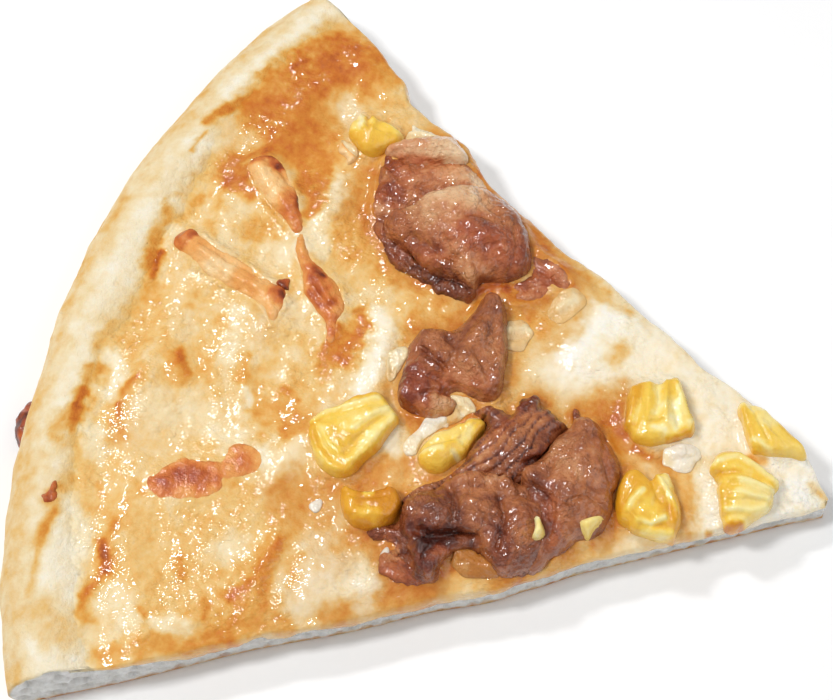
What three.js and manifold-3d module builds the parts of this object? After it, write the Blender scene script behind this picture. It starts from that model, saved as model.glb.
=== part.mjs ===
// One slice of a small round pizza, as a scene graph of closed solids. Millimetres, +Z up.
//
// The slice lies flat on z = 0. Its tip, the middle of the whole pizza, points towards -Y, and its crust is
// an arc at +Y. The origin is under the middle of its bounding box. A base of dough carries a layer of melted
// cheese and sauce, and on that lie pieces of chicken, corn kernels and toasted sticks of cheese. Scraps of
// onion and corn skin are part of the cheese. Each piece is cut to what it lies on, with a small gap, so that
// no two solids touch.
import * as THREE from "three";
import { mergeVertices } from "three/addons/utils/BufferGeometryUtils.js";
import Module from "manifold-3d";

const wasm = await Module();
wasm.setup();
const { lerp, smoothstep, degToRad, radToDeg } = THREE.MathUtils;

// ---- Driving dimensions ----
const PIZZA_RADIUS = 99.5;
const HALF_ANGLE = degToRad(30.9); // half of the slice, which is about a sixth of the pizza
const CENTRE_Y = -50; // where the middle of the pizza lies
const TIP_RADIUS = 0.6; // the tip is blunt, cut off this far from the middle
const CRUST_HEIGHT = 9.3;
const CRUST_WIDTH = 6; // from the top of the crust to its outermost line
const BULGE_HEIGHT = 4; // height of that outermost line
const FOOT_INSET = 2; // how far inside it the flat underside ends
const CHEESE_START = 4;
const CHEESE_END = 91;
const CHEESE_DEPTH = 1.7;
const CHEESE_LIP = 0.8; // how far the cheese stands out over the cut faces
const GAP = 0.2; // between one solid and the next
const EMBED = 0.9; // how far a topping sinks into the cheese
const DOUGH_PITCH = 2.5; // size of the facets
const CHEESE_PITCH = 2.35;
const TOPPING_PITCH = 1.9;

// Height of the dough by distance from the middle, up to the top of the crust.
const DOUGH_HEIGHTS = [
  [0, 4.1],
  [12, 4.9],
  [30, 5.4],
  [60, 5.6],
  [78, 6.1],
  [86, 7.2],
  [PIZZA_RADIUS - CRUST_WIDTH, CRUST_HEIGHT],
];

// How far each cut edge stands out from a straight radial cut, by distance from the middle.
const LEFT_CUT = [
  [0, -0.2],
  [30, -0.1],
  [37, 0.4],
  [42, 0.8],
  [50, 0.3],
  [58, 0.4],
  [72, -0.2],
  [86, 0],
  [100, -0.3],
];
const RIGHT_CUT = [
  [0, 0],
  [8, 1],
  [14, 0.9],
  [26, -0.2],
  [38, -0.8],
  [47, -1.9],
  [59, -2.2],
  [66, -1],
  [75, -1.7],
  [79, 0],
  [88, 0.9],
  [100, 0.6],
];

// How far the crust's outline stands outside the pizza's radius, by turn in degrees from +Y towards +X.
const CRUST_OUTLINE = [
  [-31, 0.1],
  [-25, 0.3],
  [-15, -0.1],
  [-7, -0.6],
  [-1, -0.2],
  [8, 0.1],
  [20, -0.2],
  [26, -0.3],
  [31, -0.9],
];

// How far the cheese has run down each cut face, by distance from the middle.
const LEFT_DRIPS = [
  [0, 0.2],
  [19, 0.9],
  [23, 0.6],
  [29, 0],
  [38, 0.3],
  [52, 1.7],
  [56, 0.7],
  [59, 1.6],
  [63, 0],
  [67, 1.4],
  [70, 0],
  [73, 1.5],
  [77, 1.9],
  [82, 0.2],
  [92, 0],
];
const RIGHT_DRIPS = [
  [0, 0.2],
  [10, 1],
  [18, 0.2],
  [30, 0.7],
  [41, 0.1],
  [52, 0.9],
  [64, 0],
  [72, 0.4],
  [79, 2],
  [86, 0.8],
  [92, 0],
];

// Mounds and hollows of the cheese: middle, length and width, turn from +X in degrees, and height.
const MOUNDS = [
  { at: [-14.5, 13.6], size: [12, 4.6], turn: -8, height: 0.9 },
  { at: [2, 7], size: [9, 3.6], turn: 8, height: 0.8 },
  { at: [0.4, -31.6], size: [6, 3.4], turn: 20, height: 0.5 },
  { at: [9, -17], size: [13, 8], turn: -60, height: 0.8 },
  { at: [12.6, -28], size: [9, 4], turn: 62, height: 0.6 },
  { at: [-27, 5], size: [11, 7], turn: -50, height: 0.6 },
  { at: [-7, -34], size: [7, 3], turn: 12, height: 0.6 },
  { at: [-34, 30.2], size: [13, 2.8], turn: 2, height: 0.6 },
  { at: [-13, 36], size: [9, 2.8], turn: -12, height: 0.5 },
  { at: [-7.2, 30.6], size: [5, 2.8], turn: 35, height: 0.5 },
  { at: [31, 36.6], size: [11, 2.4], turn: -44, height: 0.6 },
  { at: [-28, 11.6], size: [13, 3.2], turn: -4, height: 0.6 },
  { at: [-7, 22], size: [10, 2.6], turn: 12, height: 0.5 },
  { at: [19, 20], size: [9, 4], turn: -18, height: 0.6 },
  { at: [44, 28], size: [11, 4], turn: -62, height: 0.5 },
  { at: [35, 25], size: [13, 9], turn: 20, height: -0.5 },
  { at: [-37, 18], size: [8, 3], turn: -60, height: 0.5 },
  { at: [-20, 33], size: [12, 6], turn: 0, height: -0.3 },
];

// Chicken and toasted cheese, each by its outline seen from above, the line that its top rises towards, and
// the height that this line has above the cheese. They are laid down in this order.
const PIECES = {
  chicken_large: {
    colour: 0x9c5a3c,
    height: 5.2,
    outline: [
      [13.4, -1.2], [14.2, 5], [15.2, 9.6], [19, 11.8], [23, 10.4], [26, 4.4], [25.6, -1.8], [22.6, -5.8],
      [17.6, -7.6], [14.6, -5],
    ],
    ridge: [[18, 6], [20.6, 3.4], [20.4, -1.6]],
  },
  chicken_back: {
    colour: 0xa55a2b,
    height: 2.4,
    outline: [[16, 11], [18.4, 14.4], [23, 15.8], [28, 15], [28.4, 9], [27.2, 3.6], [22, 6]],
    ridge: [[22, 11.4], [25, 9]],
  },
  chicken_edge: {
    colour: 0xc08058,
    height: 3.2,
    outline: [[28.8, 14.6], [31, 14.4], [33, 10.6], [32.6, 7], [30, 5.4], [28.4, 8.4], [27.9, 12]],
    ridge: [[30, 12], [30.8, 8.4]],
  },
  chicken_low: {
    colour: 0xb0562c,
    height: 2,
    outline: [[13.6, -5], [18, -4.4], [22.6, -4.8], [22, -8.6], [19.6, -11.8], [16.4, -10.6], [13.6, -8]],
    ridge: [[16.4, -7], [19.6, -8]],
  },
  chicken_dark: {
    colour: 0x7c3d24,
    height: 4.4,
    outline: [
      [-4.9, -0.8], [-4.4, 2], [-0.6, 3.2], [4, 3.4], [7.2, -1], [12.9, -4.2], [9.4, -6.8], [3.6, -8.4],
      [-0.9, -8], [-3, -4],
    ],
    ridge: [[-1, -0.6], [3.4, -2.4], [8.6, -4.4]],
  },
  chicken_fibrous: {
    colour: 0x74432a,
    height: 4,
    outline: [
      [-14.2, -3.6], [-11, -3.4], [-8.4, -6.8], [-3.4, -8.9], [0.4, -9.8], [1.6, -13], [-1.4, -17],
      [-6, -15.4], [-9.8, -13], [-11.6, -8.6],
    ],
    ridge: [[-11.4, -5.6], [-8, -9.8], [-3, -12.6]],
  },
  chicken_lumps: {
    colour: 0x6d3325,
    height: 4.8,
    outline: [
      [-20.6, -5], [-17.4, -3.2], [-14.4, -4.6], [-12.2, -9.4], [-10.4, -12.8], [-13.2, -15.4], [-14.4, -18.8],
      [-17.6, -20.2], [-20.4, -17], [-19.8, -12], [-21.4, -8.6],
    ],
    ridge: [[-17.2, -6.6], [-15.4, -10.8], [-17, -15.8]],
  },
  chicken_smooth: {
    colour: 0x87472f,
    height: 4.6,
    outline: [
      [-9.6, -15], [-4.4, -17], [0.2, -18.4], [0.8, -21], [-2.6, -24.8], [-7.4, -26], [-12.4, -24.4],
      [-14.6, -21.4], [-12.2, -17],
    ],
    ridge: [[-10.4, -20.6], [-3.6, -21]],
  },
  cheese_stick_long: {
    colour: 0xd08a55,
    height: 1.9,
    outline: [[8.8, 37.5], [11.4, 36.6], [10.2, 32], [8, 25.4], [6.6, 21.4], [3.7, 21.8], [5, 27.4], [7.2, 34]],
    ridge: [[9.7, 35.8], [8.2, 30.4], [6.8, 26.2], [5.4, 23]],
  },
  cheese_stick_wide: {
    colour: 0xcf8a58,
    height: 2.2,
    outline: [[21.4, 32], [24.4, 30], [22.4, 26.4], [19, 23.6], [15, 23], [16.8, 26.6]],
    ridge: [[22.2, 29.6], [19.8, 26.6], [17, 24.6]],
  },
  cheese_stick_dark: {
    colour: 0xb05f35,
    height: 1.8,
    outline: [[12.8, 21.4], [11, 17.8], [7.4, 13.8], [2.8, 13.6], [6.4, 17.8], [9.6, 20.6]],
    ridge: [[11.2, 20], [8.4, 16.6], [5, 14.5]],
  },
  cheese_blister: {
    colour: 0xbd6235,
    height: 1.3,
    outline: [[-21.4, 28.4], [-18.2, 25.8], [-17.6, 22.2], [-14.3, 19.4], [-16.6, 16.8], [-20.8, 20.4], [-22.9, 25.8]],
    ridge: [[-20.8, 26], [-19.8, 22.8], [-16.6, 19]],
  },
};

// Scraps that are part of the cheese.
const SCRAPS = [
  { height: 1.5, outline: [[-1.2, -24.8], [0.2, -24.8], [-1.4, -30], [-2.9, -28]], ridge: [[-0.6, -25.6], [-1.8, -29]] },
  { height: 1.6, outline: [[-19.2, -10], [-18.8, -13], [-20.2, -15.6], [-21.8, -12]], ridge: [[-20, -11.4], [-20.2, -14]] },
  { height: 1.4, outline: [[13.6, -9.8], [16.4, -11.6], [15.4, -13.8], [12.8, -12]], ridge: [[14.4, -11.6], [15, -12.4]] },
  { height: 1.3, outline: [[-8.8, 0.4], [-6, 0.8], [-3.8, -3.6], [-7.4, -1.8]], ridge: [[-7.4, -0.2], [-5.2, -1.8]] },
  { height: 1.1, outline: [[-0.6, 5.4], [1.4, 6.2], [3.4, 5], [1.4, 4.2]], ridge: [[0.6, 5.2], [2.2, 5.1]] },
  { height: 1.3, outline: [[-1.6, -30.8], [1.6, -30.4], [2.6, -33], [-1, -33.4]], ridge: [[0, -32], [1, -32]] },
  { height: 3.2, outline: [[-12.6, -23], [-11.4, -21.8], [-10.2, -24], [-11.8, -24.8]], ridge: [[-11.6, -23.2], [-11.2, -23.8]] },
];

// Corn kernels: middle, then length, width and thickness, turn of the crown from +X in degrees, lean to the
// side in degrees, and how far the top stands above the cheese. They are laid down after the pieces.
const KERNELS = {
  corn_big: { at: [-8.8, 7], size: [12.4, 9.8, 5], turn: 158, lean: 6, above: 2.8 },
  corn_side: { at: [-17.4, 2.1], size: [8, 5.4, 5.4], turn: 100, lean: 20, above: 3 },
  corn_split: { at: [-7, -4.4], size: [9.6, 5.2, 3.8], turn: 143, lean: 0, above: 3.4 },
  corn_folded: { at: [4.6, -27.8], size: [9.6, 8, 4.6], turn: 190, lean: -6, above: 2.6 },
  corn_round: { at: [-7, -29.4], size: [8.8, 7.8, 5], turn: 176, lean: 4, above: 2.8 },
  corn_ribbed: { at: [-1.9, -38.9], size: [9.2, 8.4, 4.6], turn: 74, lean: -8, above: 2.6 },
  corn_wedge: { at: [5.9, -40.6], size: [9.4, 6, 4.6], turn: 72, lean: 10, above: 2.6 },
  corn_far: { at: [31.2, 18.4], size: [6.8, 6, 4.6], turn: 110, lean: 12, above: 2.4 },
};

// A drip of sauce that has burnt on to the outside of the crust.
const BURNT_DRIP = { radius: 98.2, turn: degToRad(-10.6), height: 1.75, size: [6.8, 4.6, 3.1] };

const COLOURS = { dough: 0xe6d3b4, cheese: 0xe9c48b, corn: 0xf0bc2c };

// ---- Small helpers ----

/** The value at x of the smooth curve through pairs of [x, value]. */
function along(pairs, x) {
  const next = pairs.findIndex((pair) => pair[0] > x);
  if (next === 0) return pairs[0][1];
  if (next < 0) return pairs[pairs.length - 1][1];
  const [x0, v0] = pairs[next - 1];
  const [x1, v1] = pairs[next];
  return lerp(v0, v1, smoothstep(x, x0, x1));
}

/** Evenly spaced values from one end to the other, about a pitch apart. */
function stations(from, to, pitch) {
  const count = Math.max(1, Math.round((to - from) / pitch));
  return Array.from({ length: count + 1 }, (_, i) => lerp(from, to, i / count));
}

/** A point by its distance and turn from the middle of the pizza, where turn 0 is along +Y. */
function polar(radius, turn, z) {
  return new THREE.Vector3(radius * Math.sin(turn), CENTRE_Y + radius * Math.cos(turn), z);
}

/** Distance of x, y from the middle of the pizza. */
function radiusOf(x, y) {
  return Math.hypot(x, y - CENTRE_Y);
}

/** A gentle unevenness between -1 and 1. */
function unevenness(x, y, scale) {
  const a = x / scale;
  const b = y / scale;
  return (Math.sin(a + 1.7 * Math.sin(b * 0.8)) + Math.sin(b * 1.3 + 1.4 * Math.sin(a * 0.9 + 2))) / 2;
}

/** Height at x, y of one rounded mound. */
function mound({ at, size, turn, height }, x, y) {
  const angle = degToRad(turn);
  const dx = x - at[0];
  const dy = y - at[1];
  const u = (dx * Math.cos(angle) + dy * Math.sin(angle)) / (size[0] / 2);
  const v = (dy * Math.cos(angle) - dx * Math.sin(angle)) / (size[1] / 2);
  return height * Math.exp(-1.4 * (u * u + v * v));
}

/** Turn of the left (side -1) or right (side 1) cut at a radius, and of a line some millimetres outside it. */
function cutTurn(side, radius, out = 0) {
  const wobble = along(side < 0 ? LEFT_CUT : RIGHT_CUT, radius);
  return side * (HALF_ANGLE + (wobble + out) / Math.max(radius, 4));
}

/** Turns from the left cut to the right one, about a pitch apart. */
function turnsAcross(radius, pitch, out = 0) {
  const left = cutTurn(-1, radius, out);
  const right = cutTurn(1, radius, out);
  return stations(left, right, pitch / radius);
}

/** Height of the dough inside the top of its crust. */
function doughTop(x, y) {
  return along(DOUGH_HEIGHTS, radiusOf(x, y)) + 0.15 * unevenness(x, y, 6);
}

/** Height of the cheese, which is rounded at the cuts and thin where it ends on the crust. */
function cheeseTop(x, y) {
  const radius = radiusOf(x, y);
  const turn = Math.atan2(x, y - CENTRE_Y);
  const toCut = (Math.abs(cutTurn(Math.sign(turn) || 1, radius)) - Math.abs(turn)) * radius;
  const relief = MOUNDS.reduce((sum, m) => sum + mound(m, x, y), 0.22 * unevenness(x + 9, y, 3.4));
  const inside = CHEESE_DEPTH + relief - 0.5 * (1 - smoothstep(toCut, -0.8, 2.4));
  return doughTop(x, y) + lerp(inside, 0.55, smoothstep(radius, CHEESE_END - 9, CHEESE_END));
}

// ---- Closed surfaces from rows of points ----

/** Collects the points and triangles of one closed surface. */
class Surface {
  points = [];
  triangles = [];

  /** Adds a row of points and returns their numbers. */
  row(points) {
    const first = this.points.length;
    this.points.push(...points);
    return points.map((_, i) => first + i);
  }

  /** Fills the band between two rows by the shorter diagonal. It faces left of a, seen with b beyond a. */
  band(a, b) {
    const apart = (p, q) => this.points[p].distanceTo(this.points[q]);
    let i = 0;
    let j = 0;
    while (i < a.length - 1 || j < b.length - 1) {
      const advanceA = j === b.length - 1 || (i < a.length - 1 && apart(a[i + 1], b[j]) <= apart(a[i], b[j + 1]));
      this.triangles.push(a[i], advanceA ? a[i + 1] : b[j + 1], b[j]);
      if (advanceA) i += 1;
      else j += 1;
    }
  }

  /** Fills a loop of points. It faces the viewer of the plane that flatten gives each point's place in. */
  fill(loop, flatten) {
    const contour = loop.map((n) => new THREE.Vector2(...flatten(this.points[n])));
    for (const face of THREE.ShapeUtils.triangulateShape(contour, [])) {
      this.triangles.push(...face.map((n) => loop[n]));
    }
  }

  /** The surface as a manifold solid. */
  solid() {
    return solidOf(new THREE.BufferGeometry().setFromPoints(this.points).setIndex(this.triangles));
  }
}

/** A closed geometry as a manifold solid. */
function solidOf(geometry) {
  const bare = geometry.clone();
  bare.deleteAttribute("normal");
  bare.deleteAttribute("uv");
  const merged = mergeVertices(bare, 1e-4);
  const corners = merged.index.array;
  const triangles = [];
  for (let i = 0; i < corners.length; i += 3) {
    const [a, b, c] = corners.slice(i, i + 3);
    if (a !== b && b !== c && c !== a) triangles.push(a, b, c);
  }
  const vertProperties = merged.attributes.position.array;
  return new wasm.Manifold(new wasm.Mesh({ numProp: 3, vertProperties, triVerts: new Uint32Array(triangles) }));
}

/** A manifold solid as a geometry with flat facets. */
function geometryOf(solid) {
  const mesh = solid.getMesh();
  const positions = new THREE.BufferAttribute(mesh.vertProperties, mesh.numProp);
  const indexed = new THREE.BufferGeometry()
    .setAttribute("position", positions)
    .setIndex(new THREE.BufferAttribute(mesh.triVerts, 1));
  const geometry = indexed.toNonIndexed();
  geometry.computeVertexNormals();
  return geometry;
}

/** The solid's largest body, without the scraps that a cut leaves. */
function largest(solid) {
  return solid.decompose().reduce((best, body) => (body.volume() > best.volume() ? body : best));
}

/** The solid with copies of it moved by GAP, which is what has to be clear of its neighbours. */
function withGap(solid, directions) {
  const moved = directions.map((d) => solid.translate(d.map((v) => v * GAP)));
  return wasm.Manifold.union([solid, ...moved]);
}

const UP = [[0, 0, 1]];
const AROUND = [[0, 0, 1], [1, 0, 0.5], [-1, 0, 0.5], [0, 1, 0.5], [0, -1, 0.5]];

// ---- Dough ----

/** A point of the crust, whose outline is a little uneven. */
function crustPoint(radius, turn, height) {
  const uneven = along(CRUST_OUTLINE, radToDeg(turn)) * smoothstep(radius, PIZZA_RADIUS - CRUST_WIDTH, PIZZA_RADIUS - 1);
  return polar(radius + uneven, turn, height);
}

/** The rows of the dough's top sheet, from the tip over the crust to the foot of its outer side. */
function doughRows() {
  const crest = PIZZA_RADIUS - CRUST_WIDTH;
  const inner = stations(TIP_RADIUS, crest, DOUGH_PITCH).map((radius) =>
    turnsAcross(radius, DOUGH_PITCH).map((turn) => {
      const point = polar(radius, turn, 0);
      return point.setZ(doughTop(point.x, point.y));
    }),
  );
  const turns = turnsAcross(crest, DOUGH_PITCH);
  const upper = [0.25, 0.5, 0.75, 1].map((share) => {
    const angle = (share * Math.PI) / 2;
    const height = lerp(BULGE_HEIGHT, CRUST_HEIGHT, Math.cos(angle));
    return turns.map((turn) => crustPoint(crest + CRUST_WIDTH * Math.sin(angle), turn, height));
  });
  const lower = [0.45, 0.8, 1].map((share) => {
    const angle = (share * Math.PI) / 2;
    const height = BULGE_HEIGHT * (1 - Math.sin(angle));
    return turns.map((turn) => crustPoint(PIZZA_RADIUS - FOOT_INSET * (1 - Math.cos(angle)), turn, height));
  });
  return [...inner, ...upper, ...lower];
}

/** The base and its crust: a top sheet, two cut faces and a flat underside. */
function doughBody() {
  const surface = new Surface();
  const rows = doughRows().map((points) => surface.row(points));
  rows.slice(1).forEach((row, i) => surface.band(rows[i], row));
  const foot = rows[rows.length - 1];
  const leftTop = rows.map((row) => row[0]);
  const rightTop = rows.map((row) => row[row.length - 1]);
  const footStations = stations(TIP_RADIUS, PIZZA_RADIUS - FOOT_INSET, 2 * DOUGH_PITCH).slice(0, -1);
  const [left, right] = [-1, 1].map((side) =>
    surface.row(footStations.map((radius) => polar(radius, cutTurn(side, radius), 0))),
  );
  surface.band(leftTop, [...left, foot[0]]);
  surface.band([...right, foot[foot.length - 1]], rightTop);
  surface.band([left[0], right[0]], rows[0]);
  surface.fill([...left, ...foot, ...[...right].reverse()], (p) => [-p.x, p.y]);
  return surface.solid();
}

/** An ellipsoid with its middle at the origin. */
function ellipsoid([length, width, height], segments, rings) {
  return new THREE.SphereGeometry(0.5, segments, rings).rotateX(Math.PI / 2).scale(length, width, height);
}

/** The drip of sauce that is burnt on to the crust. */
function burntDrip() {
  const { radius, turn, height, size } = BURNT_DRIP;
  const { x, y, z } = polar(radius, turn, height);
  return solidOf(ellipsoid(size, 12, 8).rotateZ(-turn).translate(x, y, z));
}

// ---- Cheese ----

/** One slice across the cheese at a radius: its top, underside, and the lips over both cut faces. */
function cheeseSection(surface, radius) {
  const topTurns = turnsAcross(radius, CHEESE_PITCH, CHEESE_LIP / 2);
  const top = topTurns.map((turn) => {
    const point = polar(radius, turn, 0);
    return point.setZ(cheeseTop(point.x, point.y));
  });
  const under = turnsAcross(radius, 1.5 * CHEESE_PITCH, GAP).map((turn) => {
    const point = polar(radius, turn, 0);
    return point.setZ(doughTop(point.x, point.y) + GAP);
  });
  const lip = (side, drips, edge) => {
    const low = edge.z - GAP - along(drips, radius);
    const high = side < 0 ? top[0].z : top[top.length - 1].z;
    return [
      polar(radius, cutTurn(side, radius, CHEESE_LIP), lerp(low, high, 0.5)),
      polar(radius, cutTurn(side, radius, 0.8 * CHEESE_LIP), low),
      polar(radius, cutTurn(side, radius, GAP), low),
    ];
  };
  const topRow = surface.row(top);
  const underRow = surface.row(under);
  const leftLip = surface.row(lip(-1, LEFT_DRIPS, under[0]));
  const rightLip = surface.row(lip(1, RIGHT_DRIPS, under[under.length - 1]));
  return {
    top: topRow,
    under: underRow,
    left: [topRow[0], ...leftLip, underRow[0]],
    right: [topRow[topRow.length - 1], ...rightLip, underRow[underRow.length - 1]],
  };
}

/** The layer of cheese and sauce between the tip and the crust. */
function cheeseLayer() {
  const surface = new Surface();
  const sections = stations(CHEESE_START, CHEESE_END, CHEESE_PITCH).map((radius) => cheeseSection(surface, radius));
  sections.slice(1).forEach((far, i) => {
    const near = sections[i];
    surface.band(near.top, far.top);
    surface.band(far.under, near.under);
    surface.band(far.left, near.left);
    surface.band(near.right, far.right);
  });
  const loop = ({ top, under, left, right }) => [
    ...top,
    ...right.slice(1, -1),
    ...[...under].reverse(),
    ...[...left].reverse().slice(1, -1),
  ];
  surface.fill(loop(sections[0]), (p) => [p.x, p.z]);
  surface.fill(loop(sections[sections.length - 1]), (p) => [-Math.atan2(p.x, p.y - CENTRE_Y) * CHEESE_END, p.z]);
  return surface.solid();
}

// ---- Toppings ----

/** The point of a broken line that is nearest to a point. */
function nearestOn(line, point) {
  const spots = line.slice(1).map((end, i) => {
    const segment = new THREE.Line3(line[i], end);
    return segment.closestPointToPoint(point, true, new THREE.Vector3());
  });
  return spots.reduce((best, spot) => (spot.distanceTo(point) < best.distanceTo(point) ? spot : best));
}

/** A low rounded piece over an outline, highest along its ridge, that follows the cheese under it. */
function pebble({ outline, ridge, height }, pitch) {
  const flat = ([x, y]) => new THREE.Vector3(x, y, 0);
  const curve = new THREE.CatmullRomCurve3(outline.map(flat), true, "centripetal");
  const rim = curve.getSpacedPoints(Math.max(8, Math.round(curve.getLength() / pitch))).slice(0, -1);
  if (THREE.ShapeUtils.isClockWise(rim)) rim.reverse();
  const line = ridge.map(flat);
  const ring = (inward, rise) =>
    rim.map((point) => {
      const spot = point.clone().lerp(nearestOn(line, point), inward);
      return spot.setZ(cheeseTop(spot.x, spot.y) + rise);
    });
  const surface = new Surface();
  const profile = [[0.06, -EMBED], [0, 0.3 * height], [0.12, 0.68 * height], [0.38, 0.93 * height], [0.72, height]];
  const rings = profile.map(([inward, rise]) => surface.row(ring(inward, rise)));
  rings.slice(1).forEach((upper, i) => {
    surface.band([...rings[i], rings[i][0]], [...upper, upper[0]]);
  });
  surface.fill(rings[rings.length - 1], (p) => [p.x, p.y]);
  surface.fill(rings[0], (p) => [-p.x, p.y]);
  return surface.solid();
}

/** A corn kernel, broad and dented at its crown and narrow at the end where it sat on the cob. */
function kernel({ at: [x, y], size, turn, lean, above }) {
  const geometry = ellipsoid([2, 2, 2], 14, 9);
  const place = geometry.attributes.position;
  for (let i = 0; i < place.count; i += 1) {
    const lengthwise = place.getX(i);
    const narrowing = lerp(0.62, 1, smoothstep(lengthwise, -1.1, 0.3));
    const dent = 0.18 * smoothstep(lengthwise, 0.4, 1) * (1 - Math.abs(place.getY(i)));
    place.setXYZ(i, lengthwise - dent, place.getY(i) * narrowing, place.getZ(i) * lerp(0.8, 1, narrowing));
  }
  geometry.scale(size[0] / 2, size[1] / 2, size[2] / 2).rotateX(degToRad(lean)).rotateZ(degToRad(turn));
  return solidOf(geometry.translate(x, y, cheeseTop(x, y) + above - size[2] / 2));
}

// ---- The slice ----

/** Every solid by its name, each cut to what it lies on. */
function sliceSolids() {
  const dough = doughBody().add(burntDrip());
  const scraps = SCRAPS.map((scrap) => pebble(scrap, TOPPING_PITCH));
  const solids = { dough, cheese: wasm.Manifold.union([cheeseLayer(), ...scraps]) };
  const bed = withGap(dough.add(solids.cheese), UP);
  const bedAround = withGap(dough.add(solids.cheese), AROUND);
  const laid = [];
  const lay = (name, solid, under) => {
    const near = laid.filter((other) => overlapping(other, solid));
    solids[name] = largest(wasm.Manifold.difference([solid, under, ...near]));
    laid.push(withGap(solids[name], AROUND));
  };
  for (const [name, piece] of Object.entries(PIECES)) lay(name, pebble(piece, TOPPING_PITCH), bed);
  for (const [name, size] of Object.entries(KERNELS)) lay(name, kernel(size), bedAround);
  return solids;
}

/** Whether the boxes around two solids overlap. */
function overlapping(a, b) {
  const [boxA, boxB] = [a, b].map((solid) => {
    const { min, max } = solid.boundingBox();
    return new THREE.Box3(new THREE.Vector3(...min), new THREE.Vector3(...max));
  });
  return boxA.intersectsBox(boxB);
}

/** A solid as a named mesh. */
function meshOf(name, solid) {
  const colour = PIECES[name]?.colour ?? COLOURS[name.split("_")[0]];
  const mesh = new THREE.Mesh(geometryOf(solid), new THREE.MeshStandardMaterial({ color: colour }));
  mesh.name = name;
  return mesh;
}

const slice = new THREE.Group();
slice.name = "pizza_slice";
for (const [name, solid] of Object.entries(sliceSolids())) slice.add(meshOf(name, solid));

export default slice;
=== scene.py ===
"""One slice of a small pizza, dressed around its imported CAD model.

Lengths are in millimetres until a mesh is made. The slice lies flat on z = 0 with its tip, the middle of the
pizza, towards -Y and its crust at +Y. The driving dimensions and the tables of outlines are those of the CAD
source, so that every surface made here lies where its solid lies.
"""
import math

import bpy
import numpy as np
from mathutils import Matrix, Vector
from mathutils.geometry import delaunay_2d_cdt


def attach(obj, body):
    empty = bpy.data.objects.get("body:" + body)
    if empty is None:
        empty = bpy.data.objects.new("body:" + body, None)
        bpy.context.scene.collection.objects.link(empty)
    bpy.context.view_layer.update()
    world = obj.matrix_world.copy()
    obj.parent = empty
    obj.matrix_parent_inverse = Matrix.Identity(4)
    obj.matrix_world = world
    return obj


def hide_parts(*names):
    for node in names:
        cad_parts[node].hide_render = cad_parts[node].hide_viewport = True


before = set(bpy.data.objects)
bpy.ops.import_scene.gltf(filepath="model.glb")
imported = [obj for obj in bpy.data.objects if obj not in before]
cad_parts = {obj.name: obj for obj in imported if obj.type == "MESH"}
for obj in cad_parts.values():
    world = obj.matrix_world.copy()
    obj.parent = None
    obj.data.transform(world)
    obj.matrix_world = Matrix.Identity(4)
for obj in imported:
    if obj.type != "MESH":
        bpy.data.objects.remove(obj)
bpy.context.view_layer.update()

MM = 0.001

# ---- Driving dimensions, as in the CAD source ----
PIZZA_RADIUS = 99.5
HALF_ANGLE = math.radians(30.9)
CENTRE_Y = -50
TIP_RADIUS = 0.6
CRUST_HEIGHT = 9.3
CRUST_WIDTH = 6
BULGE_HEIGHT = 4
FOOT_INSET = 2
CHEESE_DEPTH = 1.7
CHEESE_LIP = 0.8
GAP = 0.2
EMBED = 0.9
CREST = PIZZA_RADIUS - CRUST_WIDTH

DOUGH_HEIGHTS = [(0, 4.1), (12, 4.9), (30, 5.4), (60, 5.6), (78, 6.1), (86, 7.2), (CREST, CRUST_HEIGHT)]
LEFT_CUT = [
    (0, -0.2), (30, -0.1), (37, 0.4), (42, 0.8), (50, 0.3), (58, 0.4), (72, -0.2), (86, 0), (100, -0.3),
]
RIGHT_CUT = [
    (0, 0), (8, 1), (14, 0.9), (26, -0.2), (38, -0.8), (47, -1.9), (59, -2.2), (66, -1), (75, -1.7),
    (79, 0), (88, 0.9), (100, 0.6),
]
CRUST_OUTLINE = [
    (-31, 0.1), (-25, 0.3), (-15, -0.1), (-7, -0.6), (-1, -0.2), (8, 0.1), (20, -0.2), (26, -0.3),
    (31, -0.9),
]
LEFT_DRIPS = [
    (0, 0.2), (19, 0.9), (23, 0.6), (29, 0), (38, 0.3), (52, 1.7), (56, 0.7), (59, 1.6), (63, 0), (67, 1.4),
    (70, 0), (73, 1.5), (77, 1.9), (82, 0.2), (92, 0),
]
RIGHT_DRIPS = [
    (0, 0.2), (10, 1), (18, 0.2), (30, 0.7), (41, 0.1), (52, 0.9), (64, 0), (72, 0.4), (79, 2), (86, 0.8),
    (92, 0),
]

# Mounds and hollows of the cheese: middle, length and width, turn from +X in degrees, height.
MOUNDS = [
    ((-14.5, 13.6), (12, 4.6), -8, 0.9), ((2, 7), (9, 3.6), 8, 0.8), ((0.4, -31.6), (6, 3.4), 20, 0.5),
    ((9, -17), (13, 8), -60, 0.8), ((12.6, -28), (9, 4), 62, 0.6), ((-27, 5), (11, 7), -50, 0.6),
    ((-7, -34), (7, 3), 12, 0.6), ((-34, 30.2), (13, 2.8), 2, 0.6), ((-13, 36), (9, 2.8), -12, 0.5),
    ((-7.2, 30.6), (5, 2.8), 35, 0.5), ((31, 36.6), (11, 2.4), -44, 0.6), ((-28, 11.6), (13, 3.2), -4, 0.6),
    ((-7, 22), (10, 2.6), 12, 0.5), ((19, 20), (9, 4), -18, 0.6), ((44, 28), (11, 4), -62, 0.5),
    ((35, 25), (13, 9), 20, -0.5), ((-37, 18), (8, 3), -60, 0.5), ((-20, 33), (12, 6), 0, -0.3),
]

# How far from the pizza's middle the cheese ends, by turn in degrees from +Y towards +X.
CHEESE_ENDS = [
    (-31, 91.4), (-24, 91.8), (-18, 92.6), (-10, 93), (-5, 92.8), (-1, 91.4), (8, 91), (12, 91.6), (16, 93),
    (20, 93.5), (27, 93.9), (31, 92.6),
]

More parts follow.
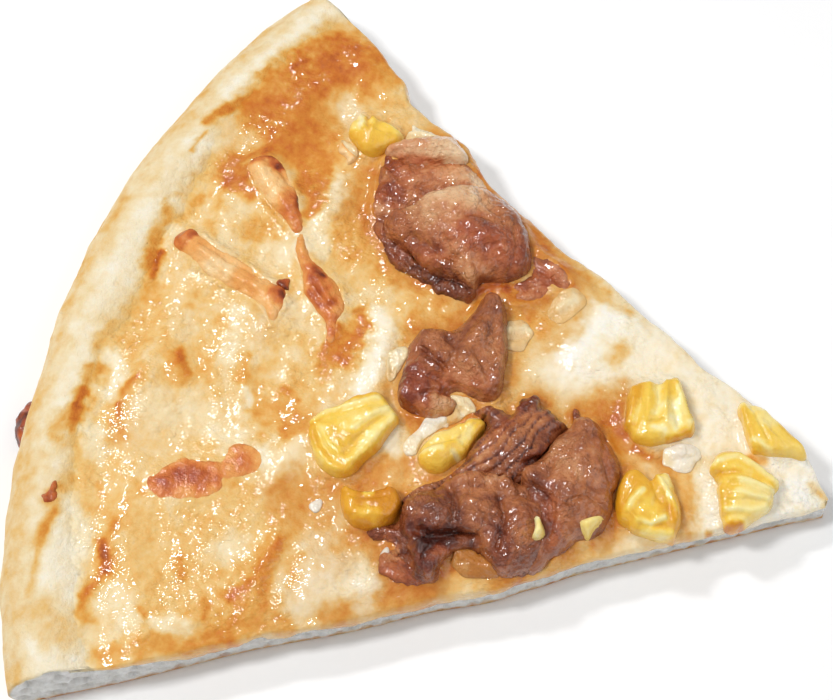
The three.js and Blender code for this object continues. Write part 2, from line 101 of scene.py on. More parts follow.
# ---- Finer sizes that only the visible surfaces have ----
DOUGH_PITCH = 0.4
CHEESE_PITCH = 0.25
CHEESE_FRONT = 0.8  # from the tip: the thin front of the cheese, ahead of the solid one
CHEESE_PLAIN_END = 91  # where the last row of the cheese lies before it is moved to the cheese's true end
CHEESE_MIN_COUNT = 8  # stretches across a row of the cheese, at least
LIPS_FADE = (80, 90)  # between these the lips over the cuts thin out, and the rows bend from the first on
LIPS_TUCK = (87, 90)  # between these the lips are tucked in beside the crust
LIP_STEPS = 9  # along the half circle of a lip
UNDER_COUNT = 14  # points across a row of the cheese's underside
UNDER_FINE = 78  # from here on a third of those in the row above
TOPPING_PITCH = 0.22
COARSE_PITCH = 2.5  # of the dough where the cheese covers it, and of its underside
FINE_TIP = 8  # the dough is fine within this distance of the tip, which the cheese leaves partly bare
FINE_CRUST = 84  # and beyond this one
FACE_LEVELS = 14  # steps up a cut face of the dough
FIBRE_TURN = math.radians(18)  # the fine wrinkles of the cheese run nearly along the middle of the slice
STRAND_TURN = math.radians(-58)  # the fine fibres of the meat run across the slice
EDGE_THICKNESS = 0.05  # of the cheese near its end on the crust
EDGE_SINK = 0.14  # by which it dips into the crust at its very end

# ---- What the baking has coloured, and some painted shade ----
# Strokes over the cheese and crust, in the order in which they are laid on: tone, half width, and a line of
# points. A tone of -1 is white cream, 0 pale gold, 0.5 orange brown and 1 burnt.
TONES = [
    # the sauce at the right
    (0.61, 2.6, (43.5, 27.7), (43.3, 24.9), (41.9, 22)),
    (0.63, 2.6, (40, 31.4), (39.7, 28.5), (38.8, 24.7)),
    (0.61, 2.4, (35.9, 34.1), (35.6, 31.2), (35.5, 27.7)),
    (0.63, 2.2, (31.1, 35.2), (31.6, 31.9), (32.1, 28.6)),
    (0.61, 2.2, (28.3, 33.4), (28.5, 30.1), (30.1, 26.3)),
    (0.61, 1.8, (25.4, 31.5), (25.9, 28.5), (27.1, 24.9)),
    (0.53, 1.6, (29.3, 23.2), (25.4, 23), (21.8, 23.3)), (0.47, 2.2, (40.3, 19.2), (38, 20.4)),
    (0.37, 2, (35.5, 24.2), (33, 24)), (0.16, 1.6, (37.4, 18.5), (37.4, 16.3)),
    (0.73, 0.8, (43.2, 26.3), (43.2, 24.6)), (0.73, 0.9, (39.8, 28.2), (41.2, 26.9)),
    (0.81, 0.3, (37.8, 31.7), (39, 31), (39.8, 30.1)),
    (0.68, 1.4, (36.9, 30.3), (36.2, 27.6), (38.2, 26.3)), (0.71, 1.2, (31.6, 33.7), (33.1, 30.3)),
    (0.73, 0.5, (28.3, 38.1), (30.4, 36.9), (31.6, 35.4)), (0.73, 1, (22, 33.6), (20, 32.3), (18.4, 30.8)),
    (0.71, 0.7, (22.6, 34.6), (24.2, 32.7), (24.8, 31)), (0.59, 1.8, (21.1, 35.2), (18.1, 32.4)),
    (0.63, 1, (24.6, 26), (22, 23.7), (19.2, 21.8)), (0.51, 1.2, (26.1, 23.5), (22, 21.5)),
    (0.05, 1.7, (26.3, 37.3), (25.6, 33.8)), (0.47, 0.2, (25.1, 39.1), (23.5, 39.8), (21.7, 39.8)),
    (-0.2, 1.4, (34.8, 23.3), (33.4, 21.9)), (0.12, 0.5, (45.2, 29.4), (46.4, 26.6)),
    # the crust, and the browned streaks beside it
    (0.8, 0.35, (26.5, 39.7), (27.7, 39), (29.1, 37.9), (30.7, 36.5)),
    (0.97, 0.35, (30.6, 36.7), (32.1, 35.3), (33, 34.2), (33.8, 33.1)),
    (0.5, 0.7, (27.2, 39.4), (29.3, 37.7), (31.8, 35.5), (33.7, 33.1)),
    (-0.6, 0.7, (31.4, 38.7), (36.5, 36.5), (41.5, 34.1), (45.2, 31.5)),
    (-0.3, 1.1, (21.4, 42.8), (19.2, 40.8), (16.2, 40.6)),
    (-0.5, 1.2, (9.7, 42.3), (3.9, 43), (-1.6, 42.7)), (-0.45, 1, (-6, 42.8), (-10.6, 42.7), (-14.5, 43)),
    (-0.8, 1.7, (-41.9, 37.9), (-45, 36.5), (-47.7, 34.1)), (-0.55, 1.2, (-45.3, 31.1), (-48, 31.5)),
    (0.3, 0.25, (11.8, 40.1), (14.2, 40.5), (15.5, 39.4)), (-0.4, 0.4, (14.5, 39.8), (14.8, 39.3)),
    (0.7, 0.4, (15.2, 37.3), (16.5, 36.7)), (0.4, 0.8, (14.8, 37.4), (16.4, 36.4)),
    (0.3, 0.6, (12.4, 38.2), (13.8, 36.8)), (0.2, 1.4, (20.4, 37.3), (16.7, 38.2)),
    (0.45, 0.9, (12.6, 39.6), (10, 40), (7.3, 40), (4.8, 39.5)), (0.55, 0.8, (6.8, 38.8), (3, 38.6)),
    (0.84, 0.3, (7.5, 38.6), (5.8, 38.6), (3.8, 38.5)), (0.42, 0.7, (2.2, 38.5), (0, 38.7), (-1.6, 39.2)),
    (0.68, 0.25, (2.2, 38.5), (0.8, 38.6)), (0.22, 0.6, (-2.6, 39.6), (-4.7, 40.6), (-6.4, 40.9)),
    (0.28, 0.7, (-6.4, 41.2), (-8.5, 40.8), (-10.2, 39.8)), (0.3, 0.35, (-7.5, 38.7), (-6.9, 39.3)),
    (0.5, 1, (-10.9, 40.2), (-13.5, 40.4), (-15.8, 40.2), (-18.6, 39.9)),
    (0.78, 0.4, (-13.5, 40.4), (-15.6, 40.5), (-17.9, 40.1)), (0.66, 0.35, (-18.3, 39.7), (-20, 39.4)),
    (0.3, 1, (-18, 41.4), (-19.7, 41.5), (-21, 40.2)), (0.3, 0.9, (-20.3, 38.9), (-22.2, 37.3)),
    (0.44, 0.6, (-22.2, 36.8), (-24.1, 36.5)), (0.36, 0.8, (-25, 37.7), (-26.5, 38.4), (-28.3, 38.7)),
    (0.3, 0.9, (-28.9, 37.9), (-31.4, 37.9), (-34, 37.5)),
    (0.6, 0.4, (-29.4, 37.4), (-31, 37.8), (-32.9, 37.7)),
    (0.36, 0.3, (-33, 37.7), (-34.8, 37.5), (-36.6, 37.1)), (0.16, 0.5, (-36.9, 37.1), (-39.5, 36.5)),
    # the left part
    (0.17, 5, (-22.4, 33.4), (-28, 26), (-35.3, 20.6)), (0.24, 3, (-31, 18), (-28, 14.5)),
    (0.2, 3.5, (-20, 22.1), (-23.1, 15.1)), (0.26, 3, (-4.5, 38.3), (0.3, 37.2)),
    (0.08, 3, (-14.4, 34.1), (-17.2, 30.3), (-20.5, 27.7)),
    (0.38, 1.1, (-9.6, 34.8), (-11.7, 36), (-14.3, 35.9), (-17.5, 34.2)),
    (0.64, 0.3, (-9.9, 34.9), (-11.4, 35.9), (-13.1, 36.1), (-15.3, 35.4)),
    (0.44, 0.6, (-16.2, 35.2), (-17.5, 33.8)), (-0.35, 0.9, (-8, 39.3), (-10.1, 37.1)),
    (-0.4, 0.8, (-11, 37), (-13, 37.2)), (-0.45, 1.3, (-35.1, 34.2), (-32.8, 33.7), (-31.7, 32.7)),
    (-0.35, 1, (-29.2, 35.7), (-30.2, 34)), (-0.2, 1.2, (-18.3, 37.4), (-20.6, 35.9)),
    (0.3, 0.8, (-25.4, 30.1), (-26.9, 29.8), (-28.6, 30.1)), (0.45, 0.7, (-29, 30.4), (-30.9, 30.7)),
    (0.5, 1.1, (-31.1, 30.7), (-32.9, 29.8), (-34.6, 28.6)),
    (0.8, 0.45, (-31.2, 30.8), (-32.8, 30), (-34.1, 29.1)),
    (0.36, 0.9, (-35.7, 29.9), (-38, 30.4), (-39.9, 29.9)),
    (0.64, 0.4, (-35, 29.5), (-36.3, 30.2), (-37.8, 30.4)), (0.6, 0.4, (-38.1, 30.7), (-39.5, 30.1)),
    (0.42, 0.5, (-39.9, 29.4), (-40.2, 28.2)), (0.32, 0.4, (-22.8, 31.4), (-22.9, 29.9), (-23.9, 28.4)),
    (0.3, 0.3, (-24.1, 34.2), (-25.8, 33.2)), (0.14, 2.2, (-41.2, 34.2), (-43.1, 31.3)),
    (0.32, 1.1, (-43.9, 26.4), (-42.6, 23.2), (-41.1, 20.7)),
    (0.42, 1.1, (-41.1, 20.7), (-40.2, 17.9), (-39, 15.6)), (-0.35, 1.8, (-37.5, 26.9), (-39, 24.9)),
    (0.46, 0.35, (-37.3, 23.5), (-38.3, 22.3)), (-0.3, 0.9, (-38.2, 20.9), (-38, 18)),
    (0.26, 1.2, (-30.5, 21.7), (-32.6, 20.2)), (0.48, 0.4, (-29.9, 21.7), (-31.2, 20.8), (-32.4, 20)),
    (0.36, 0.4, (-35.2, 19.6), (-36.1, 18.4)), (0.26, 1.6, (-35.2, 18.6), (-35.4, 16)),
    (0.48, 0.4, (-34.2, 16.4), (-36, 15.9)),
    (0.5, 1.4, (-24.3, 10.6), (-27.4, 11.3), (-30.3, 12.2), (-32.8, 13.7)),
    (0.66, 0.6, (-24.6, 10.6), (-27.3, 11.3)), (0.62, 0.6, (-28.8, 11.5), (-30.7, 12.3)),
    (0.68, 0.6, (-31.7, 13), (-32.9, 14)), (0.48, 1, (-30.3, 10.9), (-32.2, 9.7), (-34, 9.5)),
    (0.42, 1.4, (-33.1, 11.9), (-36.1, 13.2)), (0.5, 1.1, (-38.4, 14.4), (-37.5, 12.5), (-35.8, 11.4)),
    (0.4, 1.2, (-34, 9.5), (-33.4, 6.8)), (0.36, 0.5, (-22.2, 12.2), (-24.2, 11.9)),
    (0.42, 0.7, (-25.8, 7.8), (-28.8, 7.7)), (0.34, 1.4, (-22.4, 11.1), (-21.2, 8.9), (-20.1, 7.1)),
    (0.3, 0.25, (-24.2, 18.4), (-26.8, 17.8)), (-0.2, 1.4, (-28.3, 17.8), (-26.7, 15.6)),
    (-0.45, 1.1, (-14.5, 16.8), (-17.4, 14.7), (-19.2, 14)), (-0.3, 1.4, (-14.8, 13.1), (-12.5, 13.1)),
    (0.3, 0.6, (-19, 19.9), (-19.6, 17.6)), (0.2, 1.4, (-16.5, 9.4), (-18.7, 7.1)),
    (-0.35, 2.2, (-27.3, 5), (-27.6, 2.2)), (-0.3, 1.2, (-31.3, 5.8), (-29.9, 3.6)),
    (0.34, 0.8, (-29.1, 0.9), (-28.2, -0.5)),
    # the middle
    (0.42, 2.6, (-10, 17), (-9.4, 14.6)), (0.45, 2.4, (-18.6, 13), (-17.4, 10.6)),
    (0.42, 1.2, (-5.5, 31.3), (-8.1, 29.3)), (0.66, 0.5, (-5.1, 31.1), (-6.6, 30.3), (-7.8, 29.4)),
    (0.26, 0.5, (-2.7, 34.2), (-5.2, 32.7)), (0.34, 0.4, (1.2, 33), (1.3, 31.9)),
    (0.24, 0.3, (2.4, 27.9), (-0.5, 27.3)), (-0.12, 2.6, (-12.6, 30.9), (-11.8, 26.5)),
    (0.42, 0.7, (-2.3, 23.2), (-5.3, 22.6), (-8.3, 20.9), (-9.4, 19.4)),
    (-0.35, 0.5, (-7.5, 21.5), (-8.8, 20.7)), (0.4, 1.2, (-7.2, 17.4), (-8.5, 15.1), (-10.4, 14.7)),
    (0.58, 0.5, (-5.7, 16.9), (-6.8, 15.1)), (0.52, 0.6, (-9.2, 14.8), (-11.1, 15.2)),
    (-0.25, 0.9, (2.3, 26.3), (-1.6, 25.3), (-4.3, 25.6)), (-0.1, 0.8, (1.4, 22.7), (-1.5, 23.2)),
    (-0.2, 1, (-13.6, 23.4), (-14, 20.4)), (0.3, 1.1, (13.5, 28.3), (14.2, 24.2)),
    (0.22, 0.5, (12.9, 34.3), (11.7, 33)), (-0.35, 0.9, (12.8, 23.8), (10.4, 22.5)),
    (-0.1, 1.2, (11.4, 26.4), (9.3, 24.5)), (-0.1, 1, (16.8, 32.7), (16, 30.3)),
    (0.34, 0.9, (17.7, 27.9), (17, 26)), (-0.4, 1.3, (22.8, 19.9), (20.2, 19.6)),
    (-0.5, 1.1, (17.5, 19.2), (14.9, 20), (13.6, 18.7)), (0.32, 1, (19.9, 17.5), (16.8, 15.7)),
    (0.78, 0.3, (18.1, 14.5), (17.6, 14.1)), (0.46, 1, (23, 15.4), (18.6, 12.8), (16, 10.3)),
    (-0.3, 1.4, (12.6, 20.6), (15.4, 22.4)), (-0.3, 1.2, (16.4, 20.6), (20, 19.8), (23, 20)),
    (0.12, 2.4, (10, 20), (12, 13)), (0.35, 1.8, (13.6, 11), (12.6, 6), (11, 2)),
    (0.3, 1.3, (9.6, 5), (8.4, 2.6)), (0.4, 1.8, (14, 15.6), (17, 17.6), (20, 16.4)),
    (0.6, 1.5, (-0.6, 13.4), (1.6, 11.6), (4.4, 10.6), (6.4, 11)), (0.68, 0.8, (0.4, 12), (3.6, 10.8)),
    (0.65, 0.7, (5.4, 9.4), (6.8, 11.6)), (0.62, 0.6, (0, 13.8), (4, 13.4)),
    (0.5, 0.8, (5.6, 4.8), (8.4, 4.8)), (0.5, 1, (17, 23), (20, 21.6), (22, 23)),
    (0.6, 0.8, (17, 14.2), (18.4, 14)), (0.55, 0.8, (8.4, 0.6), (11, -1.4)),
    # cream and pale fat
    (-0.8, 1.4, (-3, 8), (0, 7.2), (4.6, 7.4)), (-0.6, 0.7, (6, 8), (7.6, 10)),
    (-0.5, 1.5, (-9, 2.4), (-6, 3.2)), (-0.4, 1.2, (-25.5, -0.6), (-28, 0.8)),
    (-0.1, 3, (4, -11), (7, -13)), (-0.62, 4, (6, -17), (12, -18), (16, -17)),
    (-0.6, 3.4, (8, -23), (13, -23), (14, -21)), (-0.5, 3, (10, -29), (12, -26)),
    (-0.62, 3, (3, -33), (7, -35), (9, -33)), (-0.5, 1.6, (2, -38), (4, -37)),
    (-0.8, 1, (8, -15), (11, -16.4)), (-0.8, 1.2, (13, -17), (15.6, -19)),
    (-0.15, 1, (17.4, -18), (18.2, -20.6)), (0.05, 1.5, (6, -9.6), (7, -9)),
    (-0.1, 1.4, (14, -12), (17, -13.6)),
    # stained parts near the meat
    (0.35, 2.2, (-20, 11), (-17, 8.5), (-15.5, 5.5)), (0.35, 1.5, (-31.5, 2), (-28, -3), (-25.6, -7)),
    (-0.3, 0.8, (-29.6, -1.2), (-29.2, -1.6)), (-0.2, 0.9, (-27.4, -0.8), (-25.6, -1.4)),
    (0.61, 2, (-24, -5), (-21, -2.6), (-19, -1)), (0.7, 1.8, (-23.5, -7.5), (-20, -9)),
    (0.8, 1, (-19.5, -4.5), (-18.5, -7)), (0.5, 1.5, (-20.4, -10.6), (-20, -14)),
    (0.1, 1, (-25, -8), (-22.6, -12), (-21, -15)), (0.45, 1.3, (-14.6, 3.4), (-12, 3)),
    (0.35, 1.2, (-14, 0), (-11, -0.6)), (0.3, 1.6, (22, 17), (25, 17.6), (27, 16)),
    (0.05, 1.5, (33, 14.6), (35, 13)), (0.4, 1.5, (1.4, -19.6), (4, -20.6), (5.8, -22.6)),
    (0.6, 0.9, (0.6, -22.6), (3.6, -22.8)), (0.2, 1.3, (9, -12.6), (12, -14), (16, -14.4)),
    (0.3, 1, (10.6, -10.6), (13, -12)), (0.25, 1.1, (9.6, -20.4), (11, -20.8)),
    (0.35, 0.8, (19.6, -13.6), (18.4, -17)), (0.2, 0.6, (17, -17), (16.4, -20.6)),
    # painted shade: the dark gap between the large piece of meat and the cheese
    (0.8, 0.7, (13.4, 7), (13.2, 3), (13, 0)),
    # beside the meat
    (0.4, 1.2, (23.8, 16.8), (20.4, 15.4), (17.2, 13.4), (14.6, 10.8), (12.6, 7.8)),
    # the second stroke is painted shade in the gap between the large and the dark piece of meat
    (0.5, 1.5, (24.4, -5.2), (22.2, -6.8), (21.4, -8.6)), (0.8, 1.1, (13.6, -1.8), (15.4, -4), (14.4, -6)),
    (0.5, 0.9, (13.6, -5.8), (11.2, -6.8), (9.8, -7.8)),
    (0.34, 1.2, (11.4, -8), (12.2, -10.8), (13.4, -12.8)),
    (0.5, 2, (-20.2, 0.8), (-21, -2), (-22.6, -3.8), (-24.8, -3.6)),
    (-0.5, 1.1, (-27.2, -0.8), (-26.2, -1.6)), (-0.45, 1.3, (14.4, -10.6), (15.2, -12)),
    (0.2, 0.8, (18, -15), (17.2, -17)),
    # near the tip
    (-0.05, 1, (-25.8, -9.5), (-22.1, -15.7), (-18.3, -21.8)), (-0.15, 1.1, (-15.3, -25.8), (-12.2, -31)),
    (0.5, 1.1, (3.2, -21.4), (1.6, -23.4), (-0.6, -24.8)),
    (0.42, 0.9, (-1, -25.4), (-1.6, -28), (-1.6, -30.4)), (0.7, 0.4, (2.2, -22.6), (0, -24.6)),
    (0.66, 0.35, (-1.2, -26), (-1.4, -28)), (0.35, 1.5, (-8.6, -34.6), (-5, -34.6), (-2, -31.6)),
    (0.15, 1.4, (-9.8, -28.6), (-10.6, -31)), (0.1, 1, (-12, -25), (-9.6, -25)),
    (-0.4, 1, (-12.6, -27.8), (-12.2, -28.4)), (-0.5, 1, (-8, -36.4), (-4, -35.8), (-2, -34.6)),
    (-0.7, 1.2, (-8, -37.4), (-6.6, -37)), (0.5, 0.4, (-8.4, -37), (-8.2, -37.4)),
    (0.15, 1.3, (-18.4, -19.6), (-16.6, -21.4), (-14.6, -23.6)), (0.42, 0.5, (-17, -20), (-16.4, -21.6)),
    (0.5, 0.4, (-14, -24.4), (-13.2, -24)), (0.1, 0.9, (-20.6, -16), (-18.6, -18.6)),
    (-0.75, 3.5, (-3, -43), (0, -46), (3, -44)), (-0.95, 1.2, (-0.6, -46), (0.8, -46.4)),
    (0.12, 0.5, (1.2, -47.4), (0.4, -49.4), (-0.4, -49.4)), (0.5, 0.5, (1.8, -39.4), (2, -41)),
]

# Where meat juice has stained the cheese, or shade is painted in gaps by the meat: strength, half width, and a
# line of points.
JUICE = [
    (0.34, 5, (37, 31), (43, 26)), (0.34, 5, (28, 32), (33, 26)), (0.3, 2.6, (22, 34), (21, 23)),
    (0.8, 1.4, (3.2, -21.4), (-0.6, -24.8)), (0.7, 1.2, (-1, -25.4), (-1.6, -30.4)),
    (0.6, 2.4, (-18.6, 13), (-17.4, 10.6)), (0.5, 2.6, (-20, 11), (-17, 8.5), (-15.5, 4)),
    (0.35, 3, (-31, 6), (-26, 5), (-22, 3.5)), (0.3, 1.8, (-35, 8.6), (-24, 8.8)),
    (0.55, 1.8, (-31.5, 2), (-28, -3), (-25.6, -7)), (0.9, 2.4, (-24, -5), (-21, -2.6), (-19, -1)),
    (1, 2.4, (-23.5, -7.5), (-19, -9)), (0.5, 1.6, (-14.6, 3.4), (-11, -0.6)),
    (0.6, 2, (20, 17), (25, 17.6), (27, 16)), (0.5, 1.8, (1.4, -19.6), (5.8, -22.6)),
    (0.35, 2, (9, -12.6), (16, -14.4)), (0.4, 1.6, (19.6, 34), (24, 34.4)),
    # the last stroke darkens the gap beside the large piece of meat: painted shade
    (0.3, 1.6, (-18, 33.6), (-14, 34.6)), (0.3, 1.4, (0, 22), (4, 22.6)), (1, 1.2, (13.4, 7), (13, 0)),
    (0.35, 1.4, (23.8, 16.8), (17.2, 13.4), (12.6, 7.8)), (0.8, 1.6, (24.4, -5.2), (21.4, -8.6)),
    # the first stroke darkens the gap between the large and the dark piece of meat: painted shade
    (1, 1.2, (13.6, -1.8), (15.4, -4), (14.4, -6)), (0.9, 2.2, (-20.2, 0.8), (-22.4, -3.6), (-24.8, -3.6)),
    (0.5, 2.4, (-20, 7.2), (-24.6, 3.6)),
]

# Where the surface is a smooth film of sauce or fat: strength, half width, and a line of points.
SMOOTH = [
    (0.55, 5, (25, 33), (38, 31)), (0.5, 5, (36, 34), (44, 27)), (0.5, 4, (28, 27), (42, 23)),
    (0.4, 2.5, (20, 34), (23, 23)), (0.9, 2, (-19, 14.4), (-12.6, 13.4)), (0.8, 2, (-45, 26), (-39.5, 15)),
    (0.5, 4, (6, -15), (12, -24)), (0.8, 1.8, (-8.6, -34.6), (-2, -31.6)),
    (0.6, 2, (-31.5, 2), (-25.6, -7)),
]

# A drip of sauce that has burnt on to the outside of the crust.
BURNT_DRIP_RADIUS = 98.9
BURNT_DRIP_TURN = math.radians(-10.3)
BURNT_DRIP_HEIGHT = 1.8
BURNT_DRIP_SIZE = (7.2, 5, 3.4)
BURNT_DRIP_AROUND = 48
BURNT_DRIP_DOWN = 24

# ---- Toppings ----
# Outlines, ridges and colours are drawn on the plane of DRAWN_AT as the camera sees them there. Each piece is
# then moved to its real place, which its level, the height of its visible edge, tells.
# A piece's height is how far its top stands out of the cheese, its shoulder the width of its rounded side, its
# crown the share of the height that only its middle has, and its ground the tone where no stroke lies. The
# cheese creeps up it by its hug. Its lifts are ridges and creases: height, half width, and a line of points.
DRAWN_AT = 8
SHIFT = (0.426, 0.212)  # in plan, for each millimetre below DRAWN_AT

# The spacing of the fibres of torn meat, and the line that they follow.
FIBRE_LAYERS = (1.15, [
    (-18.2, -1.8), (-14.2, -5.8), (-11.4, -8.4), (-8.8, -10.6), (-6, -12.2), (-2.8, -13.6), (0.2, -14.8),
    (2.8, -15.6),
])

